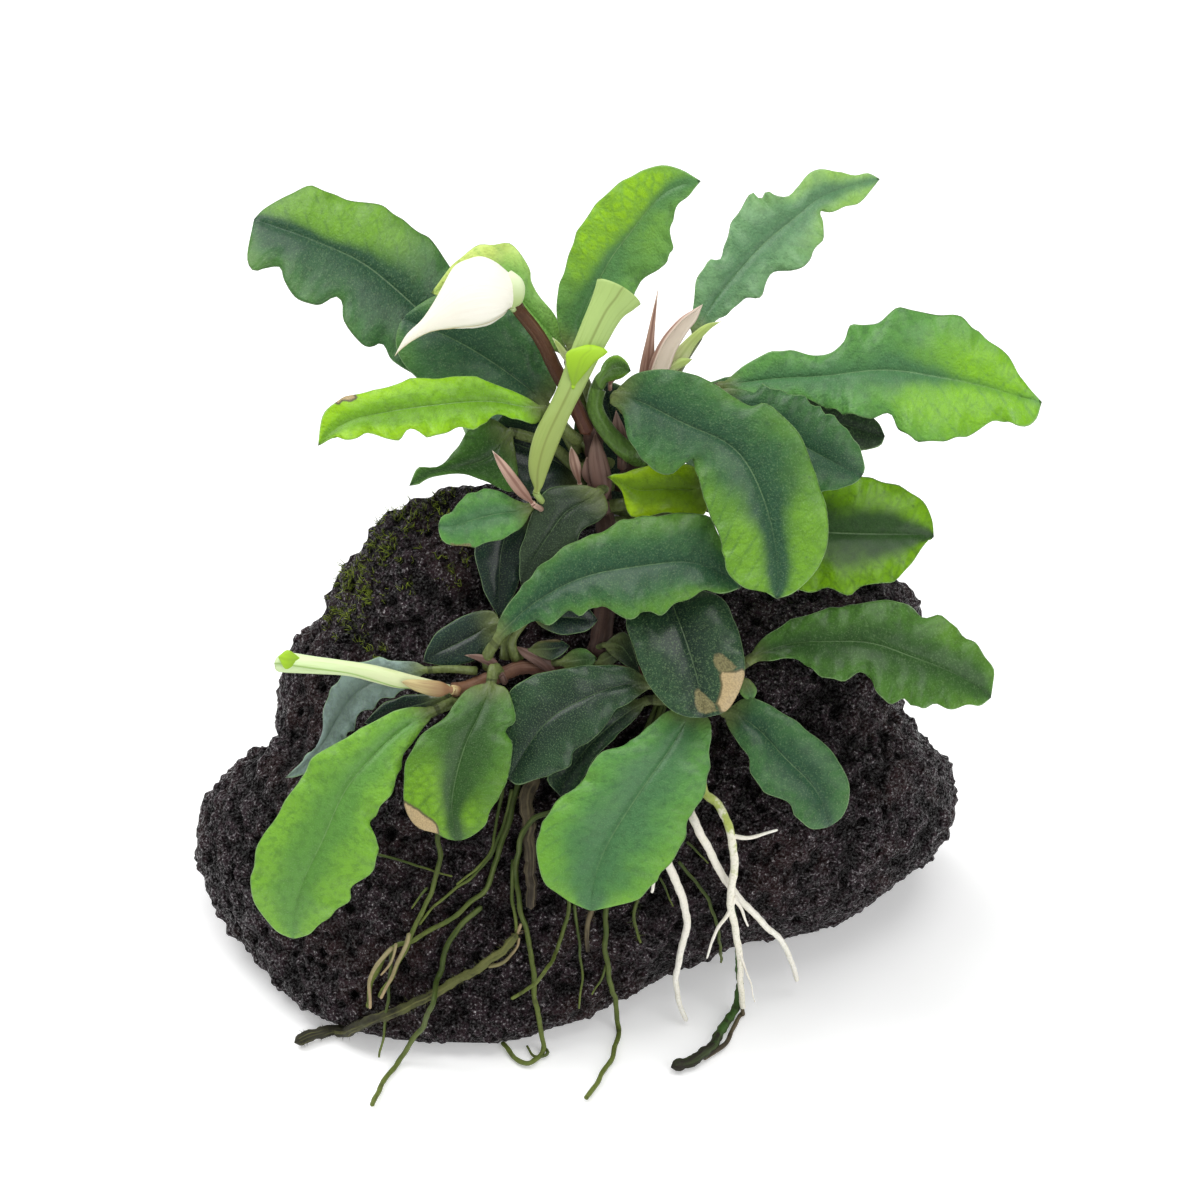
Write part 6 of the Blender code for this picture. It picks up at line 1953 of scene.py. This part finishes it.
ROOTS = [
    Strand("root_white_short", [(684, 698, 38.4), (673, 742, 39.4), (664, 795, 40.6), (662, 846, 41),
        (668, 864, 40), (679, 888, 37.4), (687, 921, 33.8), (680, 955, 30.2), (676, 978, 27.6),
        (678, 998, 25.2), (686, 1020, 23.4)], 0.82, 0.36, StrandTone.IVORY, around=14, wander=0.1),
    Strand("root_white_right", [(681, 697, 38.6), (684, 750, 39.8), (688, 804, 41.6), (696, 824, 42),
        (710, 852, 39.4), (728, 884, 36.4), (744, 903, 33.6), (762, 922, 30), (783, 943, 25.5),
        (792, 964, 22.5), (797, 980, 20)], 0.72, 0.36, StrandTone.IVORY, around=14, wander=0.1),
    Strand("root_white_long", [(696, 700, 38.8), (701, 745, 39.8), (703, 790, 41), (716, 802, 41.4),
        (727, 820, 41.8), (731, 838, 41.6), (735, 863, 40.4), (731, 888, 38.6), (731, 907, 37.2),
        (736, 933, 34.4), (740, 959, 30.4), (741, 990, 26.4), (743, 1007, 23.6)], 0.68, 0.42,
        StrandTone.IVORY_GREEN, around=14, wander=0.1),
    Strand("root_green_left", [(482, 692, 38.9), (468, 735), (450, 785), (439, 828), (440, 855), (435, 882),
        (424, 908), (409, 940, 35.6), (399, 963, 35), (380, 996)], 0.4, 0.3, around=10),
    Strand("root_forked", [(548, 690, 38.4), (534, 735), (520, 778), (514, 800), (508, 826), (496, 858),
        (490, 882), (468, 905), (445, 922), (412, 940), (390, 950), (376, 972), (369, 996), (368, 1006)],
        0.45, 0.3, around=10),
    Strand("root_forked_long", [(481, 907), (459, 926), (446, 951), (438, 978), (433, 1001, 38.9),
        (424, 1024, 34.5), (412, 1041, 31.6), (399, 1061), (384, 1081), (372, 1105)], 0.4, 0.35, around=10),
    Strand("root_mossy", [(516, 935), (498, 955), (478, 968), (452, 983), (425, 998), (395, 1011),
        (366, 1022), (339, 1028), (317, 1034), (298, 1041)], 0.55, 0.85, StrandTone.OLIVE, around=16,
        knobs=0.16, hairs=420),
    Strand("root_hooked", [(664, 698, 38.2), (644, 745, 38.8), (600, 782, 39.4), (566, 806, 40),
        (546, 814, 40.5), (531, 820, 40.4), (520, 842, 39.5), (516, 875), (520, 905), (526, 930),
        (531, 951), (535, 990), (541, 1030), (543, 1050), (531, 1064), (517, 1060), (503, 1041)], 0.4, 0.35,
        around=10),
    Strand("root_old", [(556, 688, 38.2), (548, 725), (536, 764), (527, 790), (529, 824), (531, 862),
        (531, 905)], 1.25, 0.7, StrandTone.BROWN, around=20, knobs=0.14, hairs=700, hair_length=0.5),
    Strand("root_centre", [(668, 696, 38.4), (650, 745), (614, 800), (606, 850), (607, 900), (605, 939),
        (609, 977), (615, 1000), (618, 1025), (617, 1043), (607, 1066), (596, 1084), (586, 1098)], 0.4,
        0.35, around=10),
    Strand("root_side", [(660, 696, 38.2), (634, 752), (590, 800), (572, 850), (569, 900), (566, 923),
        (556, 951), (543, 975, 38.4), (526, 990), (512, 998)], 0.35, 0.25, around=10),
    Strand("root_right_floor", [(733, 904), (736, 940, 32.6), (739, 975, 27), (738, 1000, 22.4),
        (725, 1028, 23.6), (710, 1048), (694, 1060), (675, 1066)], 0.2, 0.85, StrandTone.GREEN_BLACK,
        around=14, knobs=0.16),
]

FINE_ROOTS = [
    Bundle("roots_fine_green", "root_forked", [
        Strand("fine_left", [(391, 948, 35.4), (390, 975, 34.4), (387, 1005, 33), (384, 1032), (379, 1057)],
            0.26, 0.16),
        Strand("fine_left_branch", [(427, 888), (419, 898), (412, 908)], 0.22, 0.12, around=6),
        Strand("fine_middle", [(574, 905), (578, 935), (582, 970), (579, 1008)], 0.24, 0.14),
        Strand("fine_under_leaf", [(638, 898), (633, 915), (636, 930), (641, 941)], 0.3, 0.16, hairs=60),
        Strand("fine_right", [(679, 862), (699, 886), (712, 908), (719, 937), (721, 962)], 0.26, 0.2),
        Strand("fine_right_faint", [(687, 842), (698, 852), (708, 863)], 0.18, 0.1, around=6),
        Strand("fine_right_low", [(660, 878), (667, 892), (673, 906)], 0.18, 0.1, around=6),
        Strand("fine_hook_side", [(513, 860), (512, 885), (514, 910), (516, 932)], 0.3, 0.22),
        Strand("fine_centre_branch", [(606, 965), (600, 980), (592, 994)], 0.24, 0.12, around=6),
        Strand("fine_on_stone_left", [(374, 853), (400, 860), (428, 869), (452, 876)], 0.2, 0.12, around=6),
        Strand("fine_on_stone_up", [(508, 770), (503, 790), (498, 812), (493, 845), (478, 868), (457, 884)],
            0.26, 0.16),
        Strand("fine_on_stone_mid", [(512, 790), (507, 812), (500, 835), (486, 862), (462, 884), (436, 904),
            (420, 924)], 0.3, 0.18),
        Strand("hook_end", [(543, 1047), (549, 1051), (545, 1056), (534, 1058), (527, 1046)], 0.26, 0.16)]),
    Bundle("roots_fine_pale", "root_mossy", [
        Strand("forked_end_left", [(392, 948, 36), (376, 966, 35.6), (369, 985, 34.8), (370, 1008, 34)],
            0.34, 0.2),
        Strand("forked_end_right", [(409, 934, 36.2), (402, 955, 36), (392, 975, 35.6), (381, 998, 35)],
            0.34, 0.2),
        Strand("forked_end_middle", [(396, 944, 36.2), (391, 962, 35.8), (381, 975, 35.4)], 0.26, 0.14),
        Strand("mossy_end_upper", [(486, 962), (501, 950), (517, 934), (521, 924)], 0.4, 0.22, hairs=40),
        Strand("mossy_end_lower", [(489, 966), (505, 962), (515, 950), (519, 938)], 0.3, 0.18)],
        StrandTone.PALE),
    Bundle("roots_fine_brown", "root_old", [
        Strand("stub_under_leaf", [(594, 903), (588, 922), (587, 936), (588, 948)], 0.42, 0.3, hairs=70),
        Strand("end_lower_right", [(742, 1002, 24), (743, 1014, 22), (739, 1029, 20.4), (724, 1045),
            (704, 1058)], 0.3, 0.36)], StrandTone.BROWN),
    Bundle("roots_fine_white", "root_white_long", [
        Strand("white_stub", [(656, 872, 42), (653, 882, 41), (652, 892, 40)], 0.34, 0.2),
        Strand("white_branch", [(734, 899, 37.4), (742, 910, 36), (748, 926, 34.6)], 0.3, 0.14),
        Strand("white_side", [(733, 836, 41.4), (748, 838, 41.6), (763, 834, 41.8), (777, 830, 42)], 0.34,
            0.16),
        Strand("white_left_branch", [(735, 896, 38), (730, 910, 37.2), (719, 928, 36.4), (710, 944, 35.6),
            (707, 958, 35)], 0.36, 0.14, around=10),
        Strand("white_faint", [(740, 955, 31.6), (746, 970, 30), (751, 985, 28.4), (755, 1002, 26.8)], 0.2,
            0.1, around=6)], StrandTone.IVORY),
]


def report(piece: Object) -> None:
    """Logs a piece's name and how many faces it has."""
    LOG.info("%s: %d faces", piece.name, len(piece.data.polygons))


def main() -> None:
    """Builds the stone, the plant, its roots, the moss and the studio, and reports each piece."""
    logging.basicConfig(level=logging.INFO, format="%(message)s")
    finishes = {tone: tone.value.material() for tones in (LeafTone, ScrollTone, StrandTone) for tone in tones}
    rock = LavaStone().build(StoneFinish().material())
    report(rock)
    ground = Ground(tree_of(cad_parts[LavaStone.node]), tree_of(rock))
    for laid in LEAVES + SMALL_LEAVES + SCROLLS:
        report(laid.build(finishes))
    for strand in STEMS + ROOTS + FINE_ROOTS:
        report(strand.build(finishes, ground))
    report(Moss().build(MossFinish().material(), ground))
    Studio().build()


if __name__ == "__main__":
    main()
